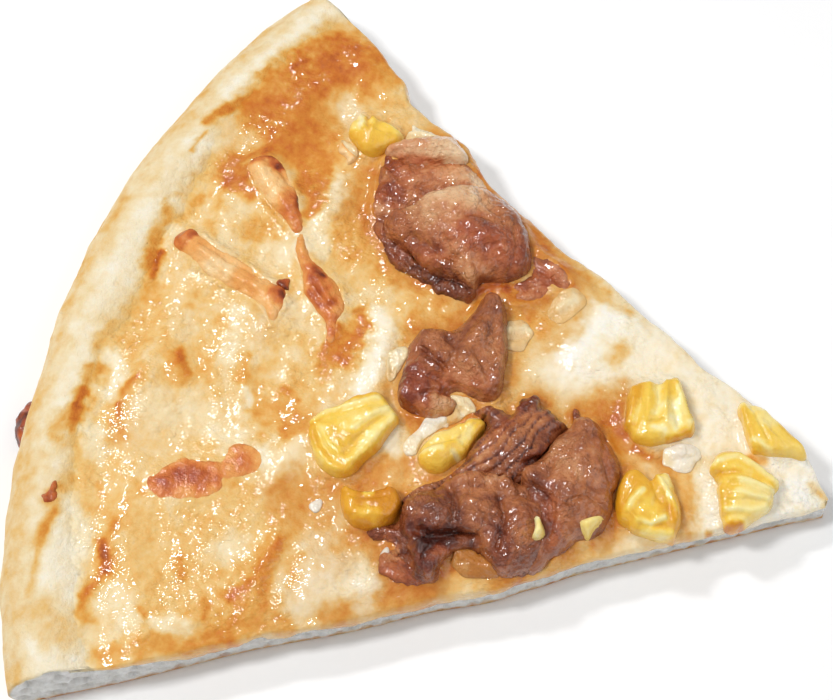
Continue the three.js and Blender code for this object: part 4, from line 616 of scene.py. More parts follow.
CORN = {
    "corn_big": dict(
        level=9.2, height=2.9, shoulder=0.8, crown=0.25, hug=0.7, ground=0.3,
        outline=[
            (-9.6, 12.4), (-8.8, 12.4), (-7.8, 11.8), (-7, 11.2), (-6.2, 10.2), (-5, 9.2), (-4, 8.2),
            (-3.6, 7.4), (-3, 6.4), (-3, 5.4), (-3.4, 4.6), (-4, 3.8), (-5, 2.6), (-5.8, 2.2), (-7, 2.6),
            (-8.4, 3), (-9.8, 3.4), (-11, 4), (-12.4, 4.8), (-13.4, 5.2), (-14.2, 5.8), (-14.6, 6.8),
            (-14.6, 8), (-14.2, 9.2), (-13.4, 10.4), (-12.2, 11.2), (-11, 12),
        ],
        lifts=[
            (0.4, 0.35, (-9.2, 12.4), (-7.2, 10.6), (-5.8, 8.2), (-4, 5.4)),
            (-0.35, 0.7, (-8.8, 11), (-6.6, 8.2), (-4.6, 5)),
            (0.25, 1, (-8.4, 8.4), (-6.8, 6.4), (-5.6, 4.8)),
            (0.4, 0.3, (-5, 3.8), (-6.4, 5.2), (-7.8, 6.2), (-8.8, 6.8)),
            (-0.45, 0.35, (-5.6, 3.2), (-7.8, 5), (-10, 6), (-12, 6.8)),
            (0.5, 0.7, (-6, 2.8), (-8.4, 4), (-11.2, 5), (-12.8, 6)),
            (0.35, 0.5, (-10.2, 11.8), (-12.2, 10.4), (-13.8, 8.2), (-14, 6.2)),
            (-0.3, 0.35, (-10, 11.2), (-11.8, 9.8), (-13, 8)),
            (0.25, 0.35, (-9.8, 10.6), (-11.4, 9.2), (-12.2, 7.6)), (-0.3, 0.8, (-9.8, 8.8), (-11.2, 7)),
            (0.25, 0.3, (-8.2, 5.2), (-9.2, 6), (-9.8, 7)),
        ],
        tones=[
            (0.42, 1, (-8.8, 11.8), (-7.4, 10), (-6.2, 7.6), (-4.4, 5.4)),
            (-0.2, 1.6, (-8.4, 8.6), (-7, 6.4), (-5.6, 4.8)),
            # painted highlight along the top ridge
            (-0.6, 0.3, (-9.2, 12.4), (-7.2, 10.6), (-5.8, 8.2), (-4, 5.4)),
            (0.3, 0.6, (-5.6, 3.6), (-7.8, 5), (-9.8, 6), (-11.6, 6.6)),
            (-0.6, 0.3, (-5, 3.8), (-6.4, 5.2), (-7.8, 6.2), (-8.8, 6.8)),
            (-0.65, 0.8, (-6, 3), (-8.4, 4), (-11.2, 5), (-12.8, 6)),
            (0.45, 0.4, (-6, 2.2), (-9.4, 3.4), (-13, 5.2)),
            (0.4, 0.8, (-10.4, 11.6), (-12.2, 10.4), (-13.6, 8.4), (-13.8, 6.4)),
            (-0.4, 0.5, (-9.8, 10.6), (-11.4, 9.2), (-12.2, 7.6)), (0.35, 0.9, (-9.8, 8.8), (-11.2, 7.2)),
            (-0.3, 0.4, (-12.2, 11.2), (-13.6, 9.6), (-14.4, 7.4)), (0.2, 1, (-10.6, 6.6), (-12.8, 7)),
        ],
    ),
    "corn_side": dict(
        level=9.2, height=3.1, shoulder=0.9, crown=0.2, hug=0.6, ground=0.78,
        outline=[
            (-17.4, 5.8), (-16.6, 6), (-15.8, 6), (-15.6, 5.2), (-15.8, 4.4), (-15.8, 3.4), (-15.4, 2.4),
            (-14.8, 1.2), (-14, 0.6), (-14, 0), (-14.6, -0.8), (-15.6, -1.6), (-16.4, -1.6), (-17.4, -1.4),
            (-18.4, -1), (-19.2, -0.2), (-19.8, 0.8), (-20, 2), (-20, 3.2), (-19.4, 4.4), (-18.4, 5.2),
        ],
        lifts=[
            (0.45, 0.7, (-18.6, 4.2), (-18.8, 2.2), (-18, 0.2)),
            (-0.35, 0.5, (-17, 5), (-16.6, 2.6), (-15.6, 0.4)),
            (0.4, 0.35, (-16.2, 5.8), (-16.4, 4.2), (-16, 2.2), (-14.6, 0.6)),
            (-0.25, 0.4, (-18, 3.4), (-17.4, 1.2)), (0.3, 0.4, (-14.6, -0.2), (-16, -1.2), (-17.6, -0.8)),
        ],
        tones=[
            (0.8, 0.9, (-14.6, -0.2), (-16, -1.2), (-17.6, -1)), (0.45, 1, (-17.8, 4.6), (-18.8, 3)),
            (0.95, 0.3, (-16, 4.8), (-15.6, 2.8), (-14.8, 1)), (0.2, 0.6, (-18.4, 2.4), (-18.4, 0.8)),
            # the last stroke is a painted glint
            (0.5, 0.6, (-16.4, 5.4), (-17.6, 5.4)), (-0.3, 0.25, (-16, 2.8), (-15.8, 2.2)),
        ],
    ),
    "corn_split": dict(
        level=9.3, height=2.4, shoulder=1, crown=0.3, hug=0.6, ground=0.15,
        outline=[
            (-9.2, -1.2), (-8.4, -1.2), (-7.2, -1.6), (-6.2, -2.2), (-5.4, -3), (-4.8, -3.8), (-4, -4.6),
            (-3.4, -5.2), (-2.8, -5.4), (-2.4, -6.2), (-2.4, -7.2), (-2.8, -7.8), (-3.6, -8), (-4.6, -7.6),
            (-5.6, -7.2), (-6.4, -7), (-7.4, -6.8), (-8.2, -6.2), (-9, -5.6), (-10, -5), (-10.6, -4.2),
            (-10.8, -3.2), (-10.4, -2.2), (-10, -1.6),
        ],
        lifts=[
            (-0.4, 0.35, (-8.6, -1.4), (-7.4, -2.8), (-6.4, -4.6), (-6, -5.6)),
            (0.35, 1.2, (-9.2, -2.6), (-8, -4.6)), (0.3, 0.5, (-6.4, -2.2), (-5.2, -4), (-4, -5)),
            (0.35, 0.5, (-4.2, -5.8), (-3.4, -6.2)), (-0.35, 0.35, (-4.8, -5.4), (-6.4, -6.2)),
            (0.3, 0.3, (-3, -7.6), (-5.6, -6.8), (-7.4, -6.6)), (-0.3, 0.4, (-7.8, -5.4), (-8.2, -6)),
            (-0.25, 0.3, (-4.2, -6.4), (-3.4, -7)), (0.25, 0.3, (-8.6, -2.2), (-7.8, -3.8)),
        ],
        tones=[
            (-0.25, 1.2, (-7.4, -2), (-5.8, -3.6), (-4.8, -5)), (0.15, 1.4, (-9.4, -2.6), (-8.2, -4.8)),
            (0.25, 0.6, (-4, -5.6), (-3.2, -6.4)), (-0.55, 0.5, (-4.8, -6.4), (-6.2, -6)),
            (-0.7, 0.3, (-7.8, -5.4), (-8.2, -6)), (0.35, 0.3, (-3.6, -7.6), (-5.6, -7), (-7.2, -6.8)),
            (-0.6, 0.3, (-8.6, -2), (-7.8, -3.8)), (-0.8, 0.35, (-3, -5.6), (-2.8, -6.2)),
            (-0.5, 0.3, (-6.2, -2.4), (-5.8, -3)),
        ],
    ),
    "corn_folded": dict(
        level=9, height=2.6, shoulder=0.8, crown=0.25, hug=0.6, ground=0.12,
        outline=[
            (2.8, -23.6), (4.2, -23.4), (5.2, -23.2), (6.6, -23.4), (7.6, -24.2), (8, -25.4), (8.2, -26.6),
            (9, -27.4), (9.6, -28.2), (9, -29), (7.8, -29.8), (6.8, -30.4), (5.6, -31), (4.6, -31.4),
            (4, -32), (2.8, -32), (2.4, -31.4), (1.6, -30.4), (0.8, -29), (0, -27.8), (-0.2, -26.4),
            (0, -25.4), (0.8, -24.6), (1.4, -23.8),
        ],
        lifts=[
            (0.45, 0.5, (6.2, -23.8), (4, -24.2), (1.8, -24.4)),
            (-0.4, 0.3, (6.8, -24.6), (4.2, -25), (1.4, -25.2)), (0.4, 0.5, (7.2, -25.4), (2.6, -26.4)),
            (-0.8, 0.45, (7.4, -26.4), (5.6, -27), (3.6, -27.2)),
            (0.5, 0.45, (8.2, -27.4), (5.6, -27.8), (3, -28.6)), (-0.7, 0.6, (5.8, -28.8), (3, -30.2)),
            (0.6, 0.35, (8.4, -28.4), (6.4, -29.8), (4, -31.4)), (-0.35, 0.3, (6.8, -30), (5.2, -31)),
            (0.45, 0.5, (1.2, -26.8), (1.4, -28), (2.2, -28.8)), (-0.4, 0.25, (2.2, -26.8), (3, -28.2)),
            (0.35, 0.3, (1.2, -29.4), (2.6, -31.6)),
        ],
        tones=[
            (0.5, 0.8, (6.4, -24), (4, -24.2), (2, -24.4)), (0.02, 0.7, (7.2, -25.4), (2.6, -26.2)),
            (-0.85, 0.45, (7.4, -26.6), (5.6, -27.2), (3.8, -27.4)),
            (0.15, 0.5, (8.4, -27.6), (5.8, -27.8)), (-0.9, 0.9, (5.6, -29), (3, -30.2)),
            (-0.8, 0.25, (7.8, -28.8), (4, -31.2)), (0.12, 0.6, (8, -29.4), (5.2, -31.2)),
            (-0.35, 0.7, (1.2, -27), (2, -28.6)), (0.6, 0.3, (1.2, -29.4), (2.8, -31.8)),
            (-0.9, 0.25, (1.8, -27.2), (2, -28.6)), (-0.3, 0.3, (2.2, -25), (3.8, -25)),
            (0.2, 0.6, (0.2, -26), (0.4, -28.2)),
        ],
    ),
    "corn_round": dict(
        level=9.2, height=3, shoulder=0.8, crown=0.25, hug=0.6, ground=0.4,
        outline=[
            (-9.2, -25.8), (-8, -25.4), (-6.2, -25.2), (-5, -25.4), (-4, -25.8), (-3.6, -26.8),
            (-3.8, -27.8), (-4, -28.6), (-3.4, -29.2), (-2.8, -30.4), (-3.6, -31.2), (-4.8, -32),
            (-6, -32.8), (-7.8, -33.4), (-9.6, -33.4), (-10.6, -33.2), (-10.6, -32.2), (-11, -31),
            (-11, -29.8), (-11, -28.6), (-10.6, -27.6), (-10.2, -26.4),
        ],
        lifts=[
            (0.5, 0.35, (-6.2, -28.2), (-7.8, -27.4), (-9, -27.2), (-9.8, -28.6)),
            (0.4, 0.3, (-9.8, -28.6), (-9.8, -30.2), (-8.6, -31.6)),
            (-0.5, 0.7, (-8, -28.6), (-7.8, -30), (-6.6, -30.2)),
            (0.55, 0.35, (-4, -29.4), (-5.2, -30.8), (-6.6, -32), (-8.4, -32.8)),
            (-0.45, 0.35, (-4, -28.6), (-5.6, -29.4), (-7, -30.8)),
            (0.45, 0.4, (-10.6, -28), (-10.6, -30.4), (-10, -32.8)),
            (-0.3, 0.3, (-10.4, -29.2), (-9.6, -31.6)), (-0.35, 0.35, (-6.6, -31.4), (-8.6, -32.2)),
            (0.3, 0.7, (-5.2, -26), (-4.4, -26.8)), (-0.3, 0.3, (-5.4, -27.2), (-8, -26.6)),
        ],
        tones=[
            (0.6, 1, (-6.8, -25.4), (-9.2, -26)), (0.4, 0.8, (-5.2, -26.8), (-7.8, -26.8)),
            (0, 0.9, (-8, -28.6), (-7.8, -30.2)), (0.3, 0.6, (-4.8, -29.2), (-6.6, -30.4)),
            (-0.6, 0.5, (-3.4, -30.2), (-4.6, -31)),
            # the first two strokes below, along the U-shaped fold, are painted highlights
            (-0.75, 0.25, (-6.2, -28.2), (-7.8, -27.4), (-9, -27.2)),
            (-0.75, 0.25, (-9.8, -28.6), (-9.8, -30.2), (-8.6, -31.6)),
            (-0.6, 0.22, (-4.2, -29.8), (-5.4, -31), (-7.2, -32.4)), (0.5, 0.6, (-7, -31.6), (-9, -33)),
            # painted highlight along the lower border
            (-0.5, 0.25, (-10.6, -29.4), (-10.6, -31.2), (-10, -32.6)),
            (0.3, 0.7, (-9.6, -27.4), (-10.4, -28.8)),
        ],
    ),
    "corn_ribbed": dict(
        level=9, height=2.6, shoulder=0.8, crown=0.2, hug=0.6, ground=-0.05,
        outline=[
            (-1, -35), (0, -35), (1.2, -35.2), (2, -36.2), (2.2, -37.4), (2, -38.8), (1.6, -40),
            (0.8, -41.4), (0.2, -42.8), (-0.4, -43.4), (-1.4, -43), (-2.4, -43.2), (-3.4, -43),
            (-4.2, -42.4), (-5, -41.6), (-5.8, -41), (-6.4, -40.6), (-7.2, -39.6), (-7.2, -38.6),
            (-6.4, -38), (-5.4, -37.4), (-4.2, -37), (-3, -36.4), (-2.2, -36.4), (-1.6, -35.6),
        ],
        lifts=[
            (0.55, 0.45, (-0.6, -35.4), (0.8, -36.2), (1.4, -37.8), (0.8, -39.8), (-0.4, -42.8)),
            (-0.6, 0.4, (-1.4, -36), (-0.8, -37.6), (-0.6, -40), (-1, -42.4)),
            (0.3, 0.3, (-1.6, -37.6), (-1.2, -40), (-1.4, -42.6)),
            (-0.3, 0.28, (-2.4, -37.8), (-2, -40.2), (-2, -42.4)),
            (0.3, 0.28, (-3.2, -38), (-3, -40.4), (-2.6, -42.4)),
            (-0.3, 0.28, (-4.4, -38), (-3.6, -40.6), (-3.2, -42.4)),
            (0.3, 0.28, (-5.2, -38), (-4.6, -40.8), (-3.6, -42.6)),
            (-0.25, 0.3, (-6, -38.2), (-5.4, -40.4)), (0.35, 0.6, (-3.4, -37.2), (-5.6, -38)),
        ],
        tones=[
            (0.25, 0.8, (-0.8, -35.4), (0.8, -36.2), (1.6, -37.6), (1.2, -39.8), (-0.2, -42.6)),
            # painted highlight along the crescent ridge
            (-0.75, 0.25, (-0.4, -35.4), (0.6, -36.4), (1.2, -37.8), (0.8, -39.8), (-0.4, -42.8)),
            (0.45, 0.3, (-1.4, -36.2), (-0.8, -37.8), (-0.6, -39.8), (-1, -42.4)),
            (-0.5, 1, (-1.4, -39.6), (-2, -42.2)),
            (-0.75, 0.25, (-1.6, -38.8), (-1.4, -40.8), (-1.4, -42.6)),
            (-0.75, 0.25, (-3, -38.8), (-3, -40.8), (-2.6, -42.4)), (0.25, 0.9, (-3, -37.2), (-5.2, -38)),
            (-0.3, 0.8, (-4.4, -39.4), (-3.8, -42)),
            (-0.75, 0.22, (-5.2, -38.4), (-4.6, -40.8), (-3.6, -42.6)),
            (-0.4, 0.5, (-6.2, -39.2), (-6, -40.4)), (0.9, 0.3, (-7.2, -38.4), (-6.6, -40.4)),
        ],
    ),
    "corn_wedge": dict(
        level=8.8, height=2.5, shoulder=0.8, crown=0.25, hug=0.6, ground=-0.05,
        outline=[
            (8.2, -36.2), (8.8, -36.4), (9, -37.6), (9, -38.8), (8.6, -39.6), (7.8, -40.6), (7.2, -41.8),
            (6.4, -43.2), (5.8, -44.4), (5, -45.4), (4.2, -45.6), (3.8, -45), (3.8, -43.8), (3.4, -42.6),
            (3, -41.4), (2.8, -40.2), (2.6, -39.4), (3.6, -38.6), (4.8, -37.8), (6.2, -37.2), (7.2, -36.4),
        ],
        lifts=[
            (0.45, 0.4, (8.2, -36.8), (5.6, -38), (3.4, -39.4)),
            (-0.4, 0.35, (8.2, -37.8), (6, -39.4), (4.2, -40.8)),
            (0.4, 0.5, (8, -39.4), (6.2, -42.2), (5, -44.6)),
            (0.3, 0.25, (4, -39), (3.6, -40), (3.4, -41.4)), (-0.25, 0.3, (5.8, -40.8), (4.4, -43)),
        ],
        tones=[
            (0.2, 0.7, (7.6, -37.2), (5.2, -38.4), (3.6, -39.6)), (-0.55, 0.7, (8.2, -38.6), (6.4, -40.6)),
            # the first stroke is a painted highlight along the ridge
            (-0.75, 0.25, (4, -39.2), (3.8, -40.2), (3.4, -41.2)), (-0.15, 0.8, (5.6, -41.6), (4.4, -44.2)),
            (0.1, 0.6, (5.4, -39.8), (4, -41.6)), (-0.5, 0.4, (8.4, -36.6), (8.6, -37.6)),
            (0.3, 0.3, (6.8, -41.8), (5.4, -44.4)),
        ],
    ),
    "corn_far": dict(
        level=9.4, height=2.5, shoulder=0.8, crown=0.3, hug=0.6, ground=0.3,
        outline=[
            (31, 21.6), (32.4, 21.8), (33.2, 21.4), (34, 21.2), (34.4, 20.6), (33.8, 19.8), (34.4, 19.2),
            (34, 18.4), (33.8, 17.2), (33.8, 16.2), (33.2, 15.2), (32.6, 14.4), (31.6, 14.6), (30.8, 15.2),
            (30.2, 15.8), (29.6, 16.4), (29, 17), (28.6, 17.6), (28.6, 18.6), (29, 19.4), (29.6, 20.2),
            (30.2, 21),
        ],
        lifts=[
            (0.5, 0.35, (33.8, 20), (32.6, 19.8), (31.6, 19.6)), (-0.35, 0.4, (31.4, 20.6), (31.2, 19.8)),
            (0.35, 0.4, (34, 19.2), (32.8, 18.4), (31.6, 18.4)), (-0.3, 0.35, (33.6, 19.6), (31.6, 18.8)),
            (0.35, 0.5, (33, 17.2), (32.4, 15.2)), (-0.3, 0.4, (32, 17.6), (31.6, 15.6)),
            (0.3, 0.6, (29.8, 19.2), (29.6, 17.2)),
        ],
        tones=[
            # the first stroke is a painted reflection: a white highlight on a facet
            (-1, 0.45, (33.8, 21), (32.6, 20.4), (31.6, 20)), (-0.3, 0.5, (32.6, 21.6), (31.6, 21.2)),
            (0.3, 0.6, (33.8, 19.6), (31.8, 18.8)), (-0.4, 0.8, (33.2, 16), (32.6, 14.8)),
            (-0.5, 0.25, (33, 19), (32.6, 18.6)), (0.3, 0.8, (30.4, 20), (29.6, 18)),
            (0.1, 1, (32.4, 17.6), (31.2, 16.4)),
        ],
    ),
}

# Small pieces of the cheese's own solid, or lying loose on it: material, then as above.
SCRAPS = {
    "meat_fringe": ("chicken", dict(
        level=8.8, height=0.8, shoulder=0.9, hug=0.8, wrinkled=1, ground=0.36,
        outline=[
            (20.8, 13.6), (19, 13.6), (17.4, 12.8), (16.2, 11.6), (15, 10.4), (14, 8.6), (13.4, 6.8),
            (13, 4.6), (12.4, 2.6), (12.2, 0.6), (12.2, -1.2), (13.6, -1.6), (14.6, -0.4), (15.2, 2.2),
            (15.4, 4.4), (15.6, 6.2), (16.4, 8.2), (17.4, 9.8), (18.8, 11), (20.2, 12.2),
        ],
        lifts=[
            (0.2, 0.4, (15.8, 10.8), (14, 7.2)), (-0.3, 0.3, (17.6, 12), (15.2, 9), (14, 6)),
            (0.3, 0.4, (13.2, 2), (12.8, -0.6)), (-0.5, 0.5, (14, 4.6), (13.6, 2.4), (13.4, -0.2)),
        ],
        tones=[
            (0.4, 0.8, (18.8, 12.8), (16, 10.4)), (0.45, 0.8, (14.6, 8.8), (13.8, 6)),
            (0.72, 0.45, (14.4, 6.4), (14, 3.8), (13.8, 2), (13.2, -0.6)),
            (0.5, 0.5, (12.8, 2.2), (12.6, -0.6)),
        ],
        glaze=[
            (0.5, 0.8, (18, 12.4), (15.4, 9.4)),
        ],
    )),
    "meat_shreds": ("chicken", dict(
        level=8.4, height=0.8, shoulder=1.4, hug=0.8, wrinkled=1, ground=0.22,
        outline=[
            (-20.2, 1.4), (-19.2, 0.2), (-18.4, -1.2), (-18, -2.6), (-18.6, -4.4), (-20, -6.2),
            (-21.6, -7.4), (-23.2, -8), (-24.4, -7.2), (-25, -5.4), (-25.2, -3.8), (-24.8, -2.2),
            (-23.6, -1), (-22.2, -1), (-21.4, -2), (-20.8, -0.8), (-21, 0.4),
        ],
        lifts=[
            (0.35, 0.5, (-20, 0.2), (-19.8, -2.2), (-20.6, -4.2)),
            (-0.4, 0.4, (-21, -1), (-21.6, -3.2), (-22.6, -5.4)),
            (0.35, 0.5, (-22.6, -2.6), (-23.2, -4.8), (-24, -6.6)), (-0.3, 0.4, (-24, -2.4), (-24.4, -4.8)),
            (0.3, 0.4, (-19, -2.4), (-20.4, -4.8)),
        ],
        tones=[
            (0.45, 1, (-20.2, 0.6), (-19.6, -1.6)), (-0.1, 1.2, (-21.4, -1.8), (-22.2, -3.8)),
            (0.9, 1, (-19.4, -3.8), (-21, -5.8), (-22.4, -7)), (0.1, 1, (-24.4, -2.8), (-24.4, -4.8)),
            (0.5, 0.8, (-23.8, -5.2), (-23.8, -7.2)), (0.35, 0.7, (-20, -2.2), (-20.8, -3.6)),
        ],
        glaze=[
            (0.8, 1.2, (-23.8, -2.6), (-24.4, -5.6)), (0.5, 1.2, (-20.2, 0.6), (-20.2, -1.6)),
        ],
    )),
    "amber_drop": ("onion", dict(
        level=8.6, height=0.8, shoulder=1, hug=0.3, ground=0.95,
        outline=[
            (-20, -9.2), (-19, -10.2), (-18.8, -11.8), (-19.4, -13.4), (-20.4, -15), (-21.2, -14.8),
            (-21.8, -12.8), (-22, -10.8), (-21.4, -9.4),
        ],
        lifts=[
            (0.2, 0.5, (-20.2, -10.4), (-20.4, -13.6)),
        ],
        tones=[
            (1, 0.8, (-20, -12.6), (-20.8, -14.4)), (0.55, 0.8, (-21, -10.2), (-21.6, -11.4)),
        ],
    )),
    "skin_upper": ("corn", dict(
        level=11.5, height=4, shoulder=0.4, ground=-0.4,
        outline=[
            (-12.2, -16.4), (-12.4, -17.4), (-13.2, -18.2), (-14, -18.6), (-14.8, -18.2), (-15.2, -17.6),
            (-15, -17), (-13.6, -17),
        ],
        lifts=[
            (0.2, 0.3, (-12.6, -17.2), (-14.4, -17.6)),
        ],
        tones=[
            (-0.85, 0.4, (-12.6, -17.2), (-14.4, -17.6)), (-0.2, 0.4, (-13.4, -18), (-14.2, -18.2)),
        ],
    )),
    "skin_lower": ("corn", dict(
        level=10.5, height=3.4, shoulder=0.4, ground=-0.3,
        outline=[
            (-11.8, -21.6), (-11.2, -22.2), (-10.4, -23.2), (-10, -24.6), (-11, -24.4), (-11.8, -24),
            (-12.8, -23.4), (-12.6, -22.4),
        ],
        lifts=[
            (0.15, 0.4, (-11.6, -22.4), (-11, -23.8)),
        ],
        tones=[
            (-0.45, 0.5, (-11.6, -22.6), (-10.6, -24)),
        ],
    )),
    "onion_split": ("onion", dict(
        level=8.5, height=0.35, shoulder=1.4, hug=0.5, ground=-0.5,
        outline=[
            (-9.2, 0.6), (-7.8, 0.6), (-6.6, 0.2), (-5.6, -0.6), (-4.8, -1.2), (-3.8, -2), (-3.4, -2.8),
            (-3.8, -3.8), (-4.8, -3.8), (-5.4, -2.8), (-6.2, -2), (-7.4, -1.4), (-8.4, -1.2), (-9.4, -0.6),
        ],
        lifts=[
            (0.3, 0.5, (-8, 0), (-6, -1.2), (-4.2, -2.8)), (-0.3, 0.4, (-8.8, 0.2), (-7, -0.4), (-5.4, -2)),
            (0.25, 0.3, (-8.6, -0.8), (-7.2, -1)),
        ],
        tones=[
            (-0.85, 0.8, (-5.4, -1.2), (-4.2, -2.8)), (-0.5, 0.8, (-8.4, 0.2), (-7, -0.4)),
            (-0.9, 0.3, (-5.2, -1.4), (-4.4, -2.2)),
        ],
    )),
    "onion_lobe": ("onion", dict(
        level=9, height=0.45, shoulder=1.2, hug=0.7, ground=-0.1,
        outline=[
            (-1.2, -2.8), (-0.4, -3.2), (-0.2, -4.2), (-0.4, -5.4), (-1, -6.2), (-2, -6.2), (-2.4, -5.4),
            (-3.2, -4.8), (-4, -4), (-4.4, -3.2), (-3.8, -2.8), (-2.8, -3.4), (-1.8, -3.6),
        ],
        lifts=[
            (0.3, 0.5, (-0.8, -3.8), (-1.6, -5.2)), (-0.3, 0.3, (-1.4, -3.4), (-2.4, -4.8)),
            (0.25, 0.4, (-3.6, -3.6), (-2.8, -4.4)),
        ],
        tones=[
            (-0.3, 0.6, (-0.8, -3.8), (-1.2, -5.2)), (0.2, 0.6, (-3.4, -3.6), (-2.6, -4.4)),
            (-0.6, 0.3, (-2.8, -4.6), (-2.2, -5)),
        ],
    )),
    "onion_tip": ("onion", dict(
        level=8.5, height=0.25, shoulder=1.4, hug=0.5, ground=-0.8,
        outline=[
            (-0.4, -29.2), (0.6, -29.8), (1.2, -31), (1.6, -32), (1.4, -33), (0.6, -33.6), (-0.4, -33.2),
            (-1.4, -32.8), (-2, -32.2), (-2, -31.4), (-1.8, -30.2), (-1.4, -29.4),
        ],
        lifts=[
            (0.25, 0.5, (-0.2, -30.2), (0.6, -32.4)), (-0.25, 0.4, (-1.2, -30.6), (-0.2, -32.4)),
            (0.2, 0.4, (-1.6, -31.8), (-0.6, -32.8)),
        ],
        tones=[
            (-0.8, 0.8, (-0.4, -30.4), (0.4, -32.4)), (-0.6, 0.6, (-1.6, -32.2), (-0.2, -33)),
            (-0.3, 0.5, (-0.8, -29.6), (-1.6, -30.2)),
        ],
    )),
    "onion_right": ("onion", dict(
        level=8.3, height=0.2, shoulder=1.4, hug=0.5, ground=0.2,
        outline=[
            (13.8, -10.6), (15.2, -11), (16.4, -11.6), (17.2, -12.6), (17.2, -14), (16.6, -14.8),
            (15.4, -14.8), (14, -14), (13, -13.2), (12.4, -12), (12.8, -11),
        ],
        lifts=[
            (0.25, 0.5, (14, -11.8), (15.8, -13.2)), (-0.25, 0.4, (13, -11.6), (14.4, -13.4)),
            (0.2, 0.4, (16.4, -12.4), (16.4, -14.2)),
        ],
        tones=[
            (-0.3, 0.6, (14.6, -12.2), (16, -13.6)), (0.25, 0.6, (13.8, -11), (13, -12)),
        ],
    )),
    "onion_crease": ("onion", dict(
        level=8.5, height=0.25, shoulder=1.2, hug=0.5, ground=0.15,
        outline=[
            (9.2, -6), (10.6, -6.4), (11.4, -7.2), (11.8, -8.4), (11.4, -9.4), (10.2, -10), (9, -9.6),
            (7.8, -9), (7.2, -8), (7.6, -6.8),
        ],
        lifts=[
            (0.3, 0.5, (9.6, -7), (11, -8.6)), (-0.3, 0.4, (8.2, -7), (9.6, -9)),
            (0.25, 0.4, (7.8, -8), (8.8, -9.2)),
        ],
        tones=[
            (-0.3, 0.6, (10, -7), (10.8, -8.8)), (0.2, 0.5, (8, -7.2), (7.8, -8.2)),
        ],
    )),
    "onion_middle": ("onion", dict(
        level=8.4, height=0.3, shoulder=1, hug=0.4, ground=-0.15,
        outline=[
            (2.4, 6.4), (3.2, 5.8), (3.8, 5.2), (3.8, 4.4), (2.6, 4), (1.6, 4.2), (0.4, 4.2), (-0.6, 4.6),
            (-1.2, 5), (-0.6, 5.8), (0.8, 6),
        ],
        lifts=[
            (0.25, 0.4, (2.8, 5.4), (1.2, 4.6)), (-0.25, 0.3, (1.4, 5.8), (-0.4, 4.8)),
        ],
        tones=[
            (-0.4, 0.6, (3, 5.2), (1.4, 5)), (0.1, 0.5, (-0.2, 5.4), (-0.8, 4.8)),
        ],
    )),
    "skin_far": ("onion", dict(
        level=8.5, height=0.5, shoulder=0.8, hug=0.4, ground=0.2,
        outline=[
            (29.6, 22.2), (29.6, 21.6), (29.4, 20.6), (29, 19.8), (28.4, 19.2), (27.6, 19.2), (27.4, 19.8),
            (27.8, 20.6), (28.4, 21.4),
        ],
        lifts=[
            (0.2, 0.3, (29.4, 21.6), (28.2, 19.8)),
        ],
        tones=[
            (-0.2, 0.5, (29.2, 21.2), (28.2, 20)),
        ],
    )),
    "skin_corner": ("onion", dict(
        level=8.6, height=0.4, shoulder=1, hug=0.4, ground=-0.2,
        outline=[
            (32.4, 14.2), (33.8, 14), (34.8, 13.8), (34.6, 12.8), (34.4, 11.8), (34.2, 10.6), (33.8, 9.8),
            (33.4, 10.4), (32.8, 12), (32, 13),
        ],
        lifts=[
            (0.25, 0.4, (33.2, 13.8), (33.8, 11.2)), (-0.2, 0.3, (34.2, 13.2), (34, 11.6)),
        ],
        tones=[
            (-0.5, 0.7, (33.6, 13.6), (33.8, 11.2)), (0, 0.4, (32.4, 13.8), (32.6, 12.2)),
        ],
    )),
    "pale_drop": ("onion", dict(
        level=8.2, height=0.2, shoulder=0.6, ground=-0.9,
        outline=[
            (-19.8, 8.4), (-19, 9.2), (-18.2, 8.4), (-18.6, 7.6), (-19.6, 7.6),
        ],
        lifts=[],
        tones=[],
    )),
    "pale_drop_low": ("onion", dict(
        level=8.2, height=0.35, shoulder=0.6, ground=-0.9,
        outline=[
            (-23.6, -1.2), (-22, -1), (-21.4, -1.6), (-22.4, -2.2), (-23.4, -1.8),
        ],
        lifts=[],
        tones=[],
    )),
    "dark_curl": ("toasted_cheese", dict(
        level=9.2, height=0.4, shoulder=0.5, hug=0.2, ground=0.6,
        outline=[
            (-28.6, 39.3), (-27.6, 40), (-26.6, 39.6), (-25.5, 39.1), (-26.4, 38.3), (-27.4, 38.4),
        ],
        lifts=[
            (0.25, 0.25, (-28, 39.4), (-26, 39)), (-0.25, 0.2, (-27.6, 38.9), (-26.4, 38.7)),
        ],
        tones=[
            (0.6, 0.3, (-27.8, 39.7), (-26.8, 39.4)),
        ],
    )),
    "olive_bit": ("toasted_cheese", dict(
        level=8.8, height=0.4, shoulder=0.5, ground=0.7,
        outline=[
            (7, 21.4), (7.8, 21.2), (8.6, 21.8), (8.2, 23.2), (7.4, 23),
        ],
        lifts=[],
        tones=[
            (1, 0.3, (7.2, 21.6), (7.6, 22.2)),
        ],
    )),
    "torn_flap": ("toasted_cheese", dict(
        level=8.8, height=0.6, shoulder=0.5, ground=-0.55,
        outline=[
            (27.6, 19.2), (28.8, 20.4), (29.6, 22), (28.6, 22.2), (27.6, 21), (26.8, 20),
        ],
        lifts=[],
        tones=[
            (0, 0.3, (28, 19.8), (29.2, 21.6)),
        ],
    )),
}


# ---- Small helpers ----

def smoothstep(x, low, high):
    """0 below low, 1 above high, and smooth in between."""
    share = np.clip((x - low) / (high - low), 0, 1)
    return share * share * (3 - 2 * share)


def lerp(a, b, share):
    """From a at share 0 to b at share 1."""
    return a + (b - a) * share


def along(pairs, x):
    """The value at x of the smooth curve through pairs of (x, value)."""
    places, values = np.array(pairs, float).T
    x = np.clip(x, places[0], places[-1])
    low = np.clip(np.searchsorted(places, x, side="right") - 1, 0, len(places) - 2)
    share = smoothstep(x, places[low], places[low + 1])
    return lerp(values[low], values[low + 1], share)


